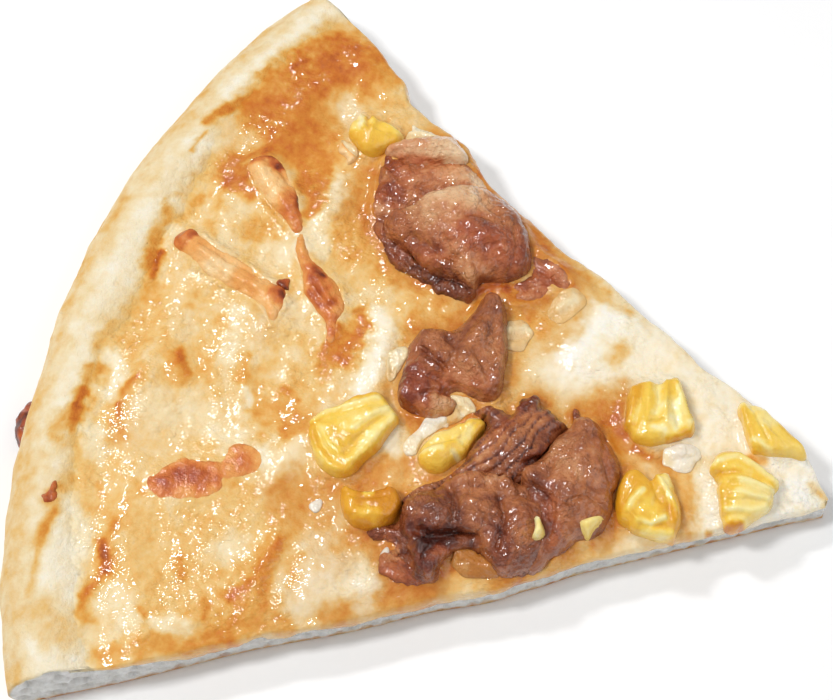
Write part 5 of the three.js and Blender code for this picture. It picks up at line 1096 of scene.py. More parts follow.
def unevenness(x, y, scale):
    """A gentle unevenness between -1 and 1, as in the CAD source."""
    a = x / scale
    b = y / scale
    return (np.sin(a + 1.7 * np.sin(b * 0.8)) + np.sin(b * 1.3 + 1.4 * np.sin(a * 0.9 + 2))) / 2


# Seeded numbers for the noise and the grains, drawn once and in this order.
DICE = np.random.RandomState(7)
GRADIENTS = DICE.normal(size=(256, 3))
GRADIENTS /= np.linalg.norm(GRADIENTS, axis=1)[:, None]
SHUFFLE = DICE.permutation(256)
JITTER = DICE.random_sample((256, 3))


def cell_number(cells):
    """A number from 0 to 255 for each cell of a grid, without order."""
    at = cells % 256
    return SHUFFLE[(SHUFFLE[(SHUFFLE[at[:, 0]] + at[:, 1]) % 256] + at[:, 2]) % 256]


def noise(points, size, seed=0):
    """Smooth noise between about -1 and 1 at points, whose lumps are about size across."""
    place = points / size + 31.7 * seed
    cell = np.floor(place).astype(int)
    part = place - cell
    fade = part ** 3 * (part * (part * 6 - 15) + 10)
    total = np.zeros(len(points))
    for corner in np.ndindex(2, 2, 2):
        pull = np.einsum("ij,ij->i", GRADIENTS[cell_number(cell + corner)], part - corner)
        total += pull * np.prod(np.where(corner, fade, 1 - fade), axis=1)
    return 1.6 * total


def grains(points, size, seed=0):
    """How near each point is to the middle of a grain: 1 at its middle, 0 from half a size away."""
    place = points / size + 17.3 * seed
    cell = np.floor(place).astype(int)
    nearest = np.full(len(points), 9.0)
    for step in np.ndindex(3, 3, 3):
        other = cell + np.array(step) - 1
        middle = other + JITTER[cell_number(other)]
        nearest = np.minimum(nearest, np.linalg.norm(place - middle, axis=1))
    return np.clip(1 - 2 * nearest, 0, 1)


def line_distance(points, line):
    """Distance of points from a broken line, and the nearest points on it, in plan."""
    line = np.array(line, float)
    best = np.full(len(points), np.inf)
    nearest = np.zeros((len(points), 2))
    for start, end in zip(line[:-1], line[1:]):
        reach = end - start
        share = np.clip((points - start) @ reach / max(reach @ reach, 1e-9), 0, 1)
        spot = start + share[:, None] * reach
        distance = np.linalg.norm(points - spot, axis=1)
        closer = distance < best
        best[closer] = distance[closer]
        nearest[closer] = spot[closer]
    return best, nearest


def painted(points, strokes, ground, soft=0.85):
    """Values at points after strokes of (value, half width, point, point, ...) are laid over the ground."""
    plan = points[:, :2]
    flat = np.column_stack([plan, np.zeros(len(plan))])
    wander = np.column_stack([noise(flat, 1.7, seed) for seed in (3, 4)])
    shiver = np.column_stack([noise(flat, 0.6, seed) for seed in (5, 6)])
    patchy = np.clip(0.9 + 0.35 * noise(flat, 0.9, 8), 0, 1)
    value = np.array(ground, float)
    for target, width, *line in strokes:
        middle = np.mean(line, axis=0)
        reach = 2.2 * width + 1 + max(np.linalg.norm(np.array(p) - middle) for p in line)
        near = np.flatnonzero(np.linalg.norm(plan - middle, axis=1) < reach)
        moved = plan[near] + wander[near] * min(0.8, 0.7 * width) + shiver[near] * min(0.4, 0.4 * width)
        distance = line_distance(moved, line)[0]
        edge = smoothstep(distance, width * (1 - soft), width * (1 + soft) + 0.2 * soft)
        cover = (1 - edge) * patchy[near]
        value[near] = lerp(value[near], target, cover)
    return value


def lifted(points, strokes, power=2):
    """The sum of ridges and creases at points: strokes of (height, half width, point, point, ...).

    A lower power makes their crests sharper.
    """
    plan = points[:, :2]
    total = np.zeros(len(plan))
    for height, width, *line in strokes:
        distance = line_distance(plan, line)[0] / width
        total += height * np.exp(-1.5 * distance ** power)
    return total


# ---- The slice's own surfaces, as in the CAD source ----

def polar(radius, turn):
    """Plan points by distance and turn from the middle of the pizza, where turn 0 is along +Y."""
    return radius * np.sin(turn), CENTRE_Y + radius * np.cos(turn)


def cut_turn(side, radius, out=0.0):
    """Turn of the left (side -1) or right (side 1) cut at a radius, or of a line outside it."""
    wobble = np.where(np.asarray(side) < 0, along(LEFT_CUT, radius), along(RIGHT_CUT, radius))
    return side * (HALF_ANGLE + (wobble + out) / np.maximum(radius, 4))


def dough_top(x, y):
    """Height of the dough inside the top of its crust."""
    return along(DOUGH_HEIGHTS, np.hypot(x, y - CENTRE_Y)) + 0.15 * unevenness(x, y, 6)


def mounds(x, y):
    """Height of all mounds of the cheese at x, y."""
    total = 0
    for (at_x, at_y), (length, width), turn, height in MOUNDS:
        angle = math.radians(turn)
        u = ((x - at_x) * math.cos(angle) + (y - at_y) * math.sin(angle)) / (length / 2)
        v = ((y - at_y) * math.cos(angle) - (x - at_x) * math.sin(angle)) / (width / 2)
        total = total + height * np.exp(-1.4 * (u * u + v * v))
    return total


def cheese_end(turn):
    """How far from the middle the cheese ends."""
    return along(CHEESE_ENDS, np.degrees(turn))


def cheese_top(x, y):
    """Height of the cheese, rounded at the cuts and thin where it ends on the crust."""
    radius = np.hypot(x, y - CENTRE_Y)
    turn = np.arctan2(x, y - CENTRE_Y)
    side = np.where(turn < 0, -1, 1)
    to_cut = (np.abs(cut_turn(side, radius)) - np.abs(turn)) * radius
    relief = mounds(x, y) + 0.22 * unevenness(x + 9, y, 3.4)
    inside = CHEESE_DEPTH + relief - 0.5 * (1 - smoothstep(to_cut, -0.8, 2.4))
    end = cheese_end(turn)
    inside = inside * smoothstep(radius, -1, 5)
    thickness = lerp(inside, EDGE_THICKNESS, smoothstep(radius, end - 9.5, end - 2))
    return dough_top(x, y) + thickness - EDGE_SINK * smoothstep(radius, end - 4, end)


def crust_relief(points):
    """The unevenness of the baked crust, which the thin end of the cheese follows."""
    return 0.25 * noise(points, 5, 3) + 0.08 * noise(points, 1.8, 4) + 0.05 * noise(points, 0.9, 5)


def crust_tone(points):
    """The tone of the bare crust, whiter at its crest than at its outer edge."""
    radius = np.hypot(points[:, 0], points[:, 1] - CENTRE_Y)
    tan = smoothstep(radius, CREST - 0.5, PIZZA_RADIUS - 2)
    mottled = -0.4 + 0.4 * tan + 0.24 * noise(points, 4, 7) + 0.18 * noise(points, 1.6, 10)
    return mottled + 0.1 * noise(points, 0.8, 14)


# ---- Meshes ----

def normals(points, triangles):
    """Unit normals at points, from the triangles around them."""
    a, b, c = (points[triangles[:, k]] for k in range(3))
    cross = np.cross(b - a, c - a)
    total = np.zeros_like(points)
    for k in range(3):
        for axis in range(3):
            total[:, axis] += np.bincount(triangles[:, k], cross[:, axis], len(points))
    return total / np.maximum(np.linalg.norm(total, axis=1), 1e-12)[:, None]


def band(a, b):
    """Triangles between two rows of point numbers.

    They face up where b lies beyond a and both rows run to the right.
    """
    triangles = []
    i = j = 0
    last_a = len(a) - 1
    last_b = len(b) - 1
    while i < last_a or j < last_b:
        if (i + 1) * max(last_b, 0.5) <= (j + 1) * max(last_a, 0.5) and i < last_a or j == last_b:
            triangles.append((a[i], a[i + 1], b[j]))
            i += 1
        else:
            triangles.append((a[i], b[j + 1], b[j]))
            j += 1
    return triangles


class Surface:
    """Collects the points and triangles of one closed surface."""

    def __init__(self):
        self.rows = []
        self.count = 0
        self.triangles = []

    def row(self, x, y, z):
        """Adds a row of points and returns their numbers."""
        x, y, z = np.broadcast_arrays(x, y, z)
        self.rows.append(np.column_stack([x, y, z]))
        first = self.count
        self.count += len(x)
        return list(range(first, self.count))

    def band(self, a, b):
        """Joins two rows of point numbers."""
        self.triangles += band(a, b)

    def finished(self):
        """All points, and the triangles between them."""
        return np.vstack(self.rows).astype(float), np.array(self.triangles)


def mesh_object(name, points, triangles, material, values=None, bottom=None):
    """A smooth mesh object from points in millimetres, with named values at its points."""
    mesh = bpy.data.meshes.new(name)
    faces = [tuple(face) for face in triangles.tolist()]
    if bottom is not None:
        faces.append(tuple(bottom))
    mesh.from_pydata((points * MM).tolist(), [], faces)
    for label, value in (values or {}).items():
        layer = mesh.attributes.new(label, "FLOAT", "POINT")
        layer.data.foreach_set("value", np.asarray(value, dtype=np.float32))
    mesh.polygons.foreach_set("use_smooth", [True] * len(mesh.polygons))
    mesh.materials.append(material)
    mesh.validate()
    mesh.update()
    obj = bpy.data.objects.new(name, mesh)
    bpy.context.scene.collection.objects.link(obj)
    return obj


def belongs(obj, slot, *nodes):
    """The object rides on the slice and stands for the nodes. The slot is not used."""
    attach(obj, "root")
    if nodes:
        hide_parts(*nodes)
    return obj


# ---- Materials ----

class Paint:
    """Builds the nodes of one material."""

    def __init__(self, name):
        self.material = bpy.data.materials.new(name)
        self.material.use_nodes = True
        self.tree = self.material.node_tree
        self.shader = self.tree.nodes["Principled BSDF"]
        self.place = self.tree.nodes.new("ShaderNodeTexCoord").outputs["Object"]

    def put(self, socket, value):
        """Links a socket, or sets a constant."""
        if isinstance(value, bpy.types.NodeSocket):
            self.tree.links.new(value, socket)
        elif isinstance(value, tuple) and len(value) == 3 and socket.type == "RGBA":
            socket.default_value = (*value, 1)
        else:
            socket.default_value = value

    def value(self, label):
        """A value that the mesh carries."""
        node = self.tree.nodes.new("ShaderNodeAttribute")
        node.attribute_name = label
        return node.outputs["Fac"]

    def noise(self, size, detail=2, stretch=None, rough=0.55):
        """Noise from 0 to 1 whose lumps are about size millimetres across, turned and stretched if asked."""
        node = self.tree.nodes.new("ShaderNodeTexNoise")
        node.inputs["Scale"].default_value = 0.7 / (size * MM)
        node.inputs["Detail"].default_value = detail
        node.inputs["Roughness"].default_value = rough
        place = self.place
        if stretch:
            mapping = self.tree.nodes.new("ShaderNodeMapping")
            mapping.vector_type = "TEXTURE"
            self.put(mapping.inputs["Vector"], place)
            mapping.inputs["Rotation"].default_value = stretch[0]
            mapping.inputs["Scale"].default_value = stretch[1]
            place = mapping.outputs["Vector"]
        self.put(node.inputs["Vector"], place)
        return node.outputs["Fac"]

    def cells(self, size):
        """Distance from the nearest of scattered points that are about size millimetres apart."""
        node = self.tree.nodes.new("ShaderNodeTexVoronoi")
        node.inputs["Scale"].default_value = 1 / (size * MM)
        self.put(node.inputs["Vector"], self.place)
        return node.outputs["Distance"]

    def math(self, operation, a, b=0.0):
        """A sum, difference or product of two values."""
        node = self.tree.nodes.new("ShaderNodeMath")
        node.operation = operation
        self.put(node.inputs[0], a)
        self.put(node.inputs[1], b)
        return node.outputs["Value"]

    def fit(self, value, low, high, to_low=0.0, to_high=1.0):
        """A value mapped from one range to another, and kept inside it."""
        node = self.tree.nodes.new("ShaderNodeMapRange")
        self.put(node.inputs["Value"], value)
        for label, number in zip(("From Min", "From Max", "To Min", "To Max"), (low, high, to_low, to_high)):
            node.inputs[label].default_value = number
        return node.outputs["Result"]

    def ramp(self, value, stops):
        """A colour by value, from stops of (place from 0 to 1, sRGB colour)."""
        node = self.tree.nodes.new("ShaderNodeValToRGB")
        elements = node.color_ramp.elements
        while len(elements) < len(stops):
            elements.new(0.5)
        for element, (place, colour) in zip(elements, stops):
            element.position = place
            element.color = (*linear(colour), 1)
        self.put(node.inputs["Fac"], value)
        return node.outputs["Color"]

    def mix(self, factor, a, b, blend="MIX"):
        """Colour a with colour b laid over it by the factor."""
        node = self.tree.nodes.new("ShaderNodeMix")
        node.data_type = "RGBA"
        node.blend_type = blend
        self.put(node.inputs["Factor"], factor)
        self.put(node.inputs[6], a)
        self.put(node.inputs[7], b)
        return node.outputs[2]

    def bump(self, height, depth, normal=None):
        """Normals over a height from 0 to 1 that stands for depth millimetres."""
        node = self.tree.nodes.new("ShaderNodeBump")
        node.inputs["Strength"].default_value = 1
        node.inputs["Distance"].default_value = depth * MM
        self.put(node.inputs["Height"], height)
        if normal is not None:
            self.put(node.inputs["Normal"], normal)
        return node.outputs["Normal"]

    def finish(self, **sockets):
        """Sets the shader's sockets, named with _ for spaces."""
        for label, value in sockets.items():
            self.put(self.shader.inputs[label.replace("_", " ")], value)
        return self.material


def linear(colour):
    """A linear colour from an sRGB one of 0 to 255."""
    share = np.array(colour) / 255
    values = np.where(share < 0.04045, share / 12.92, ((share + 0.055) / 1.055) ** 2.4)
    return tuple(float(value) for value in values)


# Colours by tone, from -1 to 1, as shares of that range.
BAKED = [
    (0.0, (254, 251, 243)), (0.25, (248, 235, 206)), (0.42, (240, 216, 168)), (0.5, (236, 204, 148)),
    (0.58, (233, 190, 116)), (0.68, (226, 164, 74)), (0.76, (216, 138, 44)), (0.84, (204, 112, 24)),
    (0.92, (172, 82, 14)), (1.0, (112, 46, 8)),
]


def baked_colour(paint):
    """The colour of cheese or crust by its tone, with mottles."""
    mottle = paint.math("MULTIPLY", paint.math("SUBTRACT", paint.noise(1.1, 5, rough=0.65), 0.5), 0.7)
    broad = paint.math("MULTIPLY", paint.math("SUBTRACT", paint.noise(4, 2), 0.5), 0.35)
    tone = paint.math("ADD", paint.value("tone"), paint.math("ADD", mottle, broad))
    return paint.ramp(paint.fit(tone, -1, 1), BAKED)


def cheese_material():
    """Melted and browned cheese, stained by sauce and juice, under a film of oil with its own ripples."""
    paint = Paint("cheese")
    baked = baked_colour(paint)
    juice = paint.fit(paint.value("juice"), 0, 1, 0, 0.75)
    stained = paint.mix(juice, baked, paint.mix(0.75, baked, linear((208, 164, 122)), "MULTIPLY"))
    smooth = paint.value("smooth")
    grain = paint.fit(smooth, 0, 1, 1, 0.35)
    fibres = paint.noise(0.55, 2, ((0, 0, FIBRE_TURN), (0.85, 1.15, 1)))
    patches = paint.fit(paint.noise(3.2, 1), 0.35, 0.65, 0.4, 1.5)
    lively = paint.math("MULTIPLY", grain, patches)
    fine = paint.bump(paint.math("MULTIPLY", fibres, lively), 0.24)
    centres = paint.cells(0.95)
    domes = paint.fit(paint.math("MULTIPLY", centres, centres), 0, 0.4, 1, 0)
    dots = paint.bump(paint.math("MULTIPLY", domes, lively), 0.055, fine)
    waves = paint.noise(0.5, 1, ((0, 0, FIBRE_TURN), (0.75, 1.5, 1)))
    wet = paint.math("MULTIPLY", paint.fit(smooth, 0, 1, 1, 0.7), patches)
    ripples = paint.bump(paint.math("MULTIPLY", waves, wet), 0.24)
    oil = paint.fit(paint.value("dry"), 0, 1, 0.9, 0.1)
    return paint.finish(
        Base_Color=stained, Roughness=0.5, Normal=dots, Subsurface_Weight=0.12, Subsurface_Scale=0.001,
        Subsurface_Radius=(1.0, 0.6, 0.35), Specular_IOR_Level=0.25, Coat_Weight=oil, Coat_Roughness=0.07,
        Coat_Normal=ripples, IOR=1.45,
    )


def dough_material():
    """Baked dough: a dry crust, a grey-white crumb at the cuts with painted shade in its pits, and a browned
    underside.
    """
    paint = Paint("dough")
    crust = baked_colour(paint)
    crumb = paint.ramp(paint.noise(0.9, 4), [
        (0.25, (212, 210, 205)), (0.5, (230, 229, 226)), (0.75, (244, 244, 242)),
    ])
    # The crumb is darkened in its pits: painted shade.
    pit_shade = paint.value("painted_pit_shade")
    crumb = paint.mix(paint.fit(pit_shade, 0, 1, 0, 0.35), crumb, linear((176, 168, 156)))
    colour = paint.mix(paint.value("crumb"), crust, crumb)
    grain = paint.bump(paint.noise(0.6, 5, rough=0.7), 0.4)
    return paint.finish(
        Base_Color=colour, Roughness=0.6, Normal=grain, Subsurface_Weight=0.15, Subsurface_Scale=0.001,
        Subsurface_Radius=(1.0, 0.7, 0.45), Specular_IOR_Level=0.35,
    )


def meat_material():
    """Glazed chicken, brown and wet, redder and darker in its creases from painted shade, with ripples in the
    glaze.
    """
    paint = Paint("chicken")
    mottle = paint.math("MULTIPLY", paint.math("SUBTRACT", paint.noise(1.0, 5, rough=0.65), 0.5), 0.75)
    tone = paint.math("ADD", paint.value("tone"), mottle)
    colour = paint.ramp(paint.fit(tone, -1, 1), [
        (0.0, (244, 218, 182)), (0.25, (232, 192, 148)), (0.45, (212, 154, 106)), (0.6, (180, 108, 60)),
        (0.75, (136, 70, 36)), (0.88, (98, 40, 16)), (1.0, (64, 22, 8)),
    ])
    orange = paint.mix(0.8, colour, linear((236, 150, 92)), "MULTIPLY")
    colour = paint.mix(paint.fit(paint.value("glaze"), 0, 1, 0, 0.85), colour, orange)
    patches = paint.fit(paint.noise(2.6, 1), 0.4, 0.62, 0.6, 1.6)
    grain = paint.bump(paint.math("MULTIPLY", paint.noise(0.35, 2), patches), 0.36)
    strands = paint.bump(paint.noise(0.4, 2, ((0, 0, STRAND_TURN), (2.6, 0.9, 1))), 0.16, grain)
    fibre = paint.bump(paint.noise(0.9, 2), 0.2, strands)
    ripples = paint.bump(paint.math("MULTIPLY", paint.noise(0.45, 0), patches), 0.3)
    return paint.finish(
        Base_Color=colour, Roughness=0.45, Normal=fibre, Subsurface_Weight=0.12, Subsurface_Scale=0.001,
        Subsurface_Radius=(1.0, 0.45, 0.25), Specular_IOR_Level=0.35, Coat_Weight=1.0, Coat_Roughness=0.07,
        Coat_Normal=ripples, IOR=1.45,
    )


def toast_material():
    """Toasted cheese, tan in the middle and red-brown at its ends."""
    paint = Paint("toasted_cheese")
    mottle = paint.math("MULTIPLY", paint.math("SUBTRACT", paint.noise(0.8, 4), 0.5), 0.5)
    tone = paint.math("ADD", paint.value("tone"), mottle)
    colour = paint.ramp(paint.fit(tone, -1, 1), [
        (0.0, (255, 232, 190)), (0.3, (248, 202, 138)), (0.5, (236, 166, 88)), (0.7, (212, 118, 50)),
        (0.85, (172, 76, 26)), (1.0, (88, 28, 8)),
    ])
    fine = paint.bump(paint.noise(0.7, 3), 0.34)
    return paint.finish(
        Base_Color=colour, Roughness=0.5, Normal=fine, Subsurface_Weight=0.12, Subsurface_Scale=0.001,
        Subsurface_Radius=(1.0, 0.5, 0.3), Specular_IOR_Level=0.3, Coat_Weight=0.8, Coat_Roughness=0.08,
        Coat_Normal=fine, IOR=1.45,
    )


def corn_material():
    """Cooked corn: shiny skin over yellow flesh, pale and papery at torn ends, with some painted highlights."""
    paint = Paint("corn")
    mottle = paint.math("MULTIPLY", paint.math("SUBTRACT", paint.noise(1.1, 4), 0.5), 0.35)
    tone = paint.math("ADD", paint.value("tone"), mottle)
    colour = paint.ramp(paint.fit(tone, -1, 1), [
        (0.0, (255, 247, 224)), (0.25, (254, 235, 160)), (0.5, (247, 206, 80)), (0.75, (230, 164, 28)),
        (1.0, (200, 114, 10)),
    ])
    skin = paint.bump(paint.noise(0.9, 3), 0.26)
    return paint.finish(
        Base_Color=colour, Roughness=0.4, Normal=skin, Subsurface_Weight=0.15, Subsurface_Scale=0.001,
        Subsurface_Radius=(1.0, 0.7, 0.2), Specular_IOR_Level=0.3, Coat_Weight=1.0, Coat_Roughness=0.06,
        Coat_Normal=skin, IOR=1.45,
    )


def onion_material():
    """Soft onion and fat, pale and half clear."""
    paint = Paint("onion")
    tone = paint.math("ADD", paint.value("tone"), paint.math("MULTIPLY", paint.noise(1.0, 4), 0.5))
    colour = paint.ramp(paint.fit(tone, -1, 1), [
        (0.0, (222, 210, 198)), (0.25, (244, 234, 214)), (0.5, (240, 218, 172)), (0.75, (226, 180, 112)),
        (1.0, (184, 116, 44)),
    ])
    skin = paint.bump(paint.noise(0.8, 3), 0.4)
    return paint.finish(
        Base_Color=colour, Roughness=0.45, Normal=skin, Subsurface_Weight=0.25, Subsurface_Scale=0.001,
        Subsurface_Radius=(1.0, 0.8, 0.6), Specular_IOR_Level=0.3, Coat_Weight=1.0, Coat_Roughness=0.07,
        Coat_Normal=skin, IOR=1.45,
    )


def floor_material():
    """A plain pale floor with a faint unevenness of tone."""
    paint = Paint("floor")
    colour = paint.ramp(paint.noise(60, 2), [(0.3, (250, 250, 250)), (0.7, (254, 254, 254))])
    return paint.finish(Base_Color=colour, Roughness=0.8, Specular_IOR_Level=0.2)


# ---- Dough ----

def crust_profile():
    """Rows of the crust outside its crest: how far out each one lies, and its height."""
    upper = [(CRUST_WIDTH * math.sin(a), lerp(BULGE_HEIGHT, CRUST_HEIGHT, math.cos(a)))
             for a in np.linspace(0, math.pi / 2, 24)[1:]]
    lower = [(CRUST_WIDTH - FOOT_INSET * (1 - math.cos(a)), BULGE_HEIGHT * (1 - math.sin(a)))
             for a in np.linspace(0, math.pi / 2, 13)[1:]]
    return upper + lower


def dough_points():
    """The dough's smooth surface, and a mark for each point: 0 on top, 1 on a cut face, -1 underneath."""
    surface = Surface()
    radii = np.arange(TIP_RADIUS, CREST, DOUGH_PITCH)
    tops, lows, faces = [], [], ([], [])
    crumb = []

    def mark(numbers, value):
        """Marks points by their numbers, and hands the numbers back."""
        crumb.extend([value] * len(numbers))
        return numbers

    def add(x, y, z, low_radius, outline_share=0.0):
        """A row of the top, the row of the underside below it, and a column up each cut face."""
        top = mark(surface.row(x, y, z), 0)
        tops.append(top)
        count = max(1, round(low_radius * 2 * HALF_ANGLE / COARSE_PITCH))
        turn = np.linspace(cut_turn(-1, low_radius), cut_turn(1, low_radius), count + 1)
        low_x, low_y = polar(low_radius + outline_share * along(CRUST_OUTLINE, np.degrees(turn)), turn)
        low = mark(surface.row(low_x, low_y, np.zeros(count + 1)), -1)
        lows.append(low)
        share = np.linspace(0, 1, FACE_LEVELS + 1)[1:-1]
        for column, end in zip(faces, (0, -1)):
            face_x = lerp(low_x[end], x[end], share)
            face_y = lerp(low_y[end], y[end], share)
            middle = mark(surface.row(face_x, face_y, share * z[end]), 1)
            column.append([low[end], *middle, top[end]])

    for radius in radii:
        fine = radius < FINE_TIP or radius > FINE_CRUST
        reach = (CREST if radius > FINE_CRUST else radius) * 2 * HALF_ANGLE
        count = max(1, round(reach / (DOUGH_PITCH if fine else COARSE_PITCH))) if radius > 1 else 1
        turn = np.linspace(cut_turn(-1, radius), cut_turn(1, radius), count + 1)
        x, y = polar(radius, turn)
        add(x, y, dough_top(x, y), radius)
    count = round(CREST * 2 * HALF_ANGLE / DOUGH_PITCH)
    turn = np.linspace(cut_turn(-1, CREST), cut_turn(1, CREST), count + 1)
    outline = along(CRUST_OUTLINE, np.degrees(turn))
    profile = crust_profile()
    foot = PIZZA_RADIUS - FOOT_INSET
    for number, (out, height) in enumerate(profile):
        radius = CREST + out
        x, y = polar(radius + outline * smoothstep(radius, CREST, PIZZA_RADIUS - 1), turn)
        bump = 0.15 * unevenness(x, y, 6) * max(0, 1 - out / 4)
        if number < len(profile) - 1:
            low_radius = lerp(CREST, foot, (number + 1) / len(profile))
            add(x, y, height + bump, low_radius, smoothstep(low_radius, CREST, PIZZA_RADIUS - 1))
        else:
            last = mark(surface.row(x, y, 0 * x), -1)
    for near, far in zip(tops, [*tops[1:], last]):
        surface.band(near, far)
    for near, far in zip(lows, [*lows[1:], last]):
        surface.band(far, near)
    left, right = faces
    for near, far in zip(left, [*left[1:], [last[0]]]):
        surface.band(near, far)
    for near, far in zip(right, [*right[1:], [last[-1]]]):
        surface.band(far, near)
    surface.band(right[0], left[0])
    points, triangles = surface.finished()
    return points, triangles, np.array(crumb)


def dough_piece(material):
    """The base and its crust, with crumb at the cuts."""
    points, triangles, mark = dough_points()
    normal = normals(points, triangles)
    radius = np.hypot(points[:, 0], points[:, 1] - CENTRE_Y)
    face = (mark > 0).astype(float)
    under = (mark < 0) | (points[:, 2] < 0.01)
    bubbles = smoothstep(grains(points, 2.1, 1), 0.1, 0.8) * 0.7
    bubbles = bubbles + smoothstep(grains(points, 1.1, 2), 0.1, 0.8) * 0.4
    inner = smoothstep(points[:, 2], 0.3, 1.1) * face
    rough_cut = 0.1 * noise(points, 1.2, 1) + 0.07 * noise(points, 0.6, 2)
    crust = crust_relief(points)
    fringe = np.exp(-((points[:, 2] - 0.2) / 0.35) ** 2) * face * 0.35 * noise(points, 0.9, 6)
    end = cheese_end(np.arctan2(points[:, 0], points[:, 1] - CENTRE_Y))
    bare = smoothstep(radius, end - 4, end - 1.5)
    under_cheese = 0.07 * (1 - smoothstep(radius, end - 4, end - 0.4))
    amount = face * (rough_cut + fringe) - inner * bubbles * 0.8 + (1 - face) * (crust * bare - under_cheese)
    amount = np.where(under, 0, amount)
    points = points + normal * amount[:, None]
    points[:, 2] = np.maximum(points[:, 2], 0)
    ground = crust_tone(points)
    tone = lerp(painted(points, TONES, ground), ground, smoothstep(radius, CREST + 1, CREST + 4))
    baked = 0.28 + 0.3 * noise(points, 7, 8) + 0.5 * smoothstep(noise(points, 3, 9), 0.35, 0.8)
    tone = np.where(under, baked, tone)
    low = face * (1 - smoothstep(points[:, 2], 0.25, 0.7))
    # The pit value darkens the crumb in its pits: painted shade.
    values = {
        "tone": np.where(low > 0, 0.35 + 0.6 * noise(points, 1.2, 4), tone),
        "crumb": face * (1 - 0.75 * low), "painted_pit_shade": np.clip(inner * bubbles * 1.6, 0, 1),
    }
    return belongs(mesh_object("dough_base", points, triangles, material, values), "dough", "dough")


# ---- Cheese ----

def cheese_points():
    """The cheese's smooth surface between the tip and the crust, with its lips over both cuts."""
    surface = Surface()
    sections = []
    steps = round((CHEESE_PLAIN_END - CHEESE_FRONT) / CHEESE_PITCH)
    for share in np.linspace(0, 1, steps + 1):
        plain = lerp(CHEESE_FRONT, CHEESE_PLAIN_END, share)
        count = max(CHEESE_MIN_COUNT, round(plain * 2 * HALF_ANGLE / CHEESE_PITCH))
        turn = np.linspace(cut_turn(-1, plain), cut_turn(1, plain), count + 1)
        stretch = smoothstep(plain, LIPS_FADE[0], CHEESE_PLAIN_END)
        wave = 0.35 * noise(np.column_stack([turn * 90, 0 * turn, 0 * turn]), 2.6, 2)
        radius = plain + stretch * (np.minimum(cheese_end(turn) + wave, CREST) - CHEESE_PLAIN_END)
        x, y = polar(radius, turn)
        top = surface.row(x, y, cheese_top(x, y))
        low_count = UNDER_COUNT if plain < UNDER_FINE else count // 3
        low_turn = np.linspace(cut_turn(-1, plain, GAP), cut_turn(1, plain, GAP), low_count)
        low_radius = plain + stretch * (np.minimum(cheese_end(low_turn), CREST) - CHEESE_PLAIN_END)
        low_x, low_y = polar(low_radius, low_turn)
        sunk = 0.5 * smoothstep(plain, *LIPS_FADE) - 0.05
        under = surface.row(low_x, low_y, dough_top(low_x, low_y) - sunk)
        section = {"top": top, "under": under}
        for side, drips, end in ((-1, LEFT_DRIPS, 0), (1, RIGHT_DRIPS, -1)):
            seat = np.array([[side * 50.0, plain, 0]])
            full = 1 - smoothstep(plain, *LIPS_FADE)
            ragged = 0.3 * noise(seat, 1.6, 3)[0] + 0.18 * noise(seat, 0.8, 4)[0]
            hang = (along(drips, plain) + 0.15 - ragged) * full
            low = dough_top(low_x[end], low_y[end]) - hang - (1 - full) * 0.5
            high = cheese_top(x[end], y[end])
            arc = np.linspace(0, math.pi, LIP_STEPS + 1)[1:]
            lip = GAP + (CHEESE_LIP - GAP) * (1 + 0.35 * noise(seat, 3, 5)[0]) * (0.1 + 0.9 * full)
            upper = lip * np.sin(arc) ** 0.8
            lower = GAP + (lip - GAP) * np.sin(arc) ** 0.6
            out = np.where(arc < math.pi / 2, upper, lower)
            out = lerp(out, -0.1, smoothstep(plain, *LIPS_TUCK))
            lip_x, lip_y = polar(radius[end], cut_turn(side, plain, out))
            numbers = surface.row(lip_x, lip_y, lerp(high, low, (1 - np.cos(arc)) / 2))
            section["left" if side < 0 else "right"] = numbers
        sections.append(section)
    for near, far in zip(sections, sections[1:]):
        surface.band(near["top"], far["top"])
        surface.band(far["under"], near["under"])
        edges = [[s["top"][0], *s["left"], s["under"][0]] for s in (far, near)]
        surface.band(*edges)
        edges = [[s["top"][-1], *s["right"], s["under"][-1]] for s in (near, far)]
        surface.band(*edges)
    for section, outward in ((sections[0], False), (sections[-1], True)):
        rim = [*section["left"], *section["under"], *section["right"][::-1]]
        surface.band(*((section["top"], rim) if outward else (rim, section["top"])))
    return surface.finished()


def rim_distance(plan, spec, reach):
    """Numbers of the points near a piece, how far they are from its rim, and which lie inside it."""
    rim = rounded(placed(spec["outline"], spec["level"]), 0.8)
    low, high = rim.min(axis=0) - reach, rim.max(axis=0) + reach
    near = np.flatnonzero(np.all((plan > low) & (plan < high), axis=1))
    distance = line_distance(plan[near], np.vstack([rim, rim[:1]]))[0]
    return near, distance, inside(plan[near], rim)


def meniscus(points):
    """How far the cheese has crept up the toppings, and how far their juice has stained it."""
    rise = np.zeros(len(points))
    stain = np.zeros(len(points))
    plan = points[:, :2]
    flat = np.column_stack([plan, np.zeros(len(plan))])
    for table, juicy in ((MEAT, 1), (TOAST, 0), (CORN, 0)):
        for spec in table.values():
            near, distance, within = rim_distance(plan, spec, 4)
            distance = np.where(within, 0.4 * distance, distance)
            rise[near] = np.maximum(rise[near], spec.get("hug", 0.5) * np.exp(-(distance / 0.75) ** 1.3))
            stain[near] = np.maximum(stain[near], juicy * np.exp(-(distance / 2.2) ** 2))
    rise = rise * (0.85 + 0.5 * noise(flat, 2.4, 9))
    stain = stain * np.clip(0.8 + 0.6 * noise(flat, 2.6, 12), 0, 1)
    return rise, stain


def covered(points):
    """How much of each point is covered by a loose piece, under which the cheese lies calm."""
    share = np.zeros(len(points))
    plan = points[:, :2]
    for _, spec in SCRAPS.values():
        near, distance, within = rim_distance(plan, spec, 1)
        distance = np.where(within, 0, distance)
        share[near] = np.maximum(share[near], 1 - smoothstep(distance, 0, 0.7))
    return share


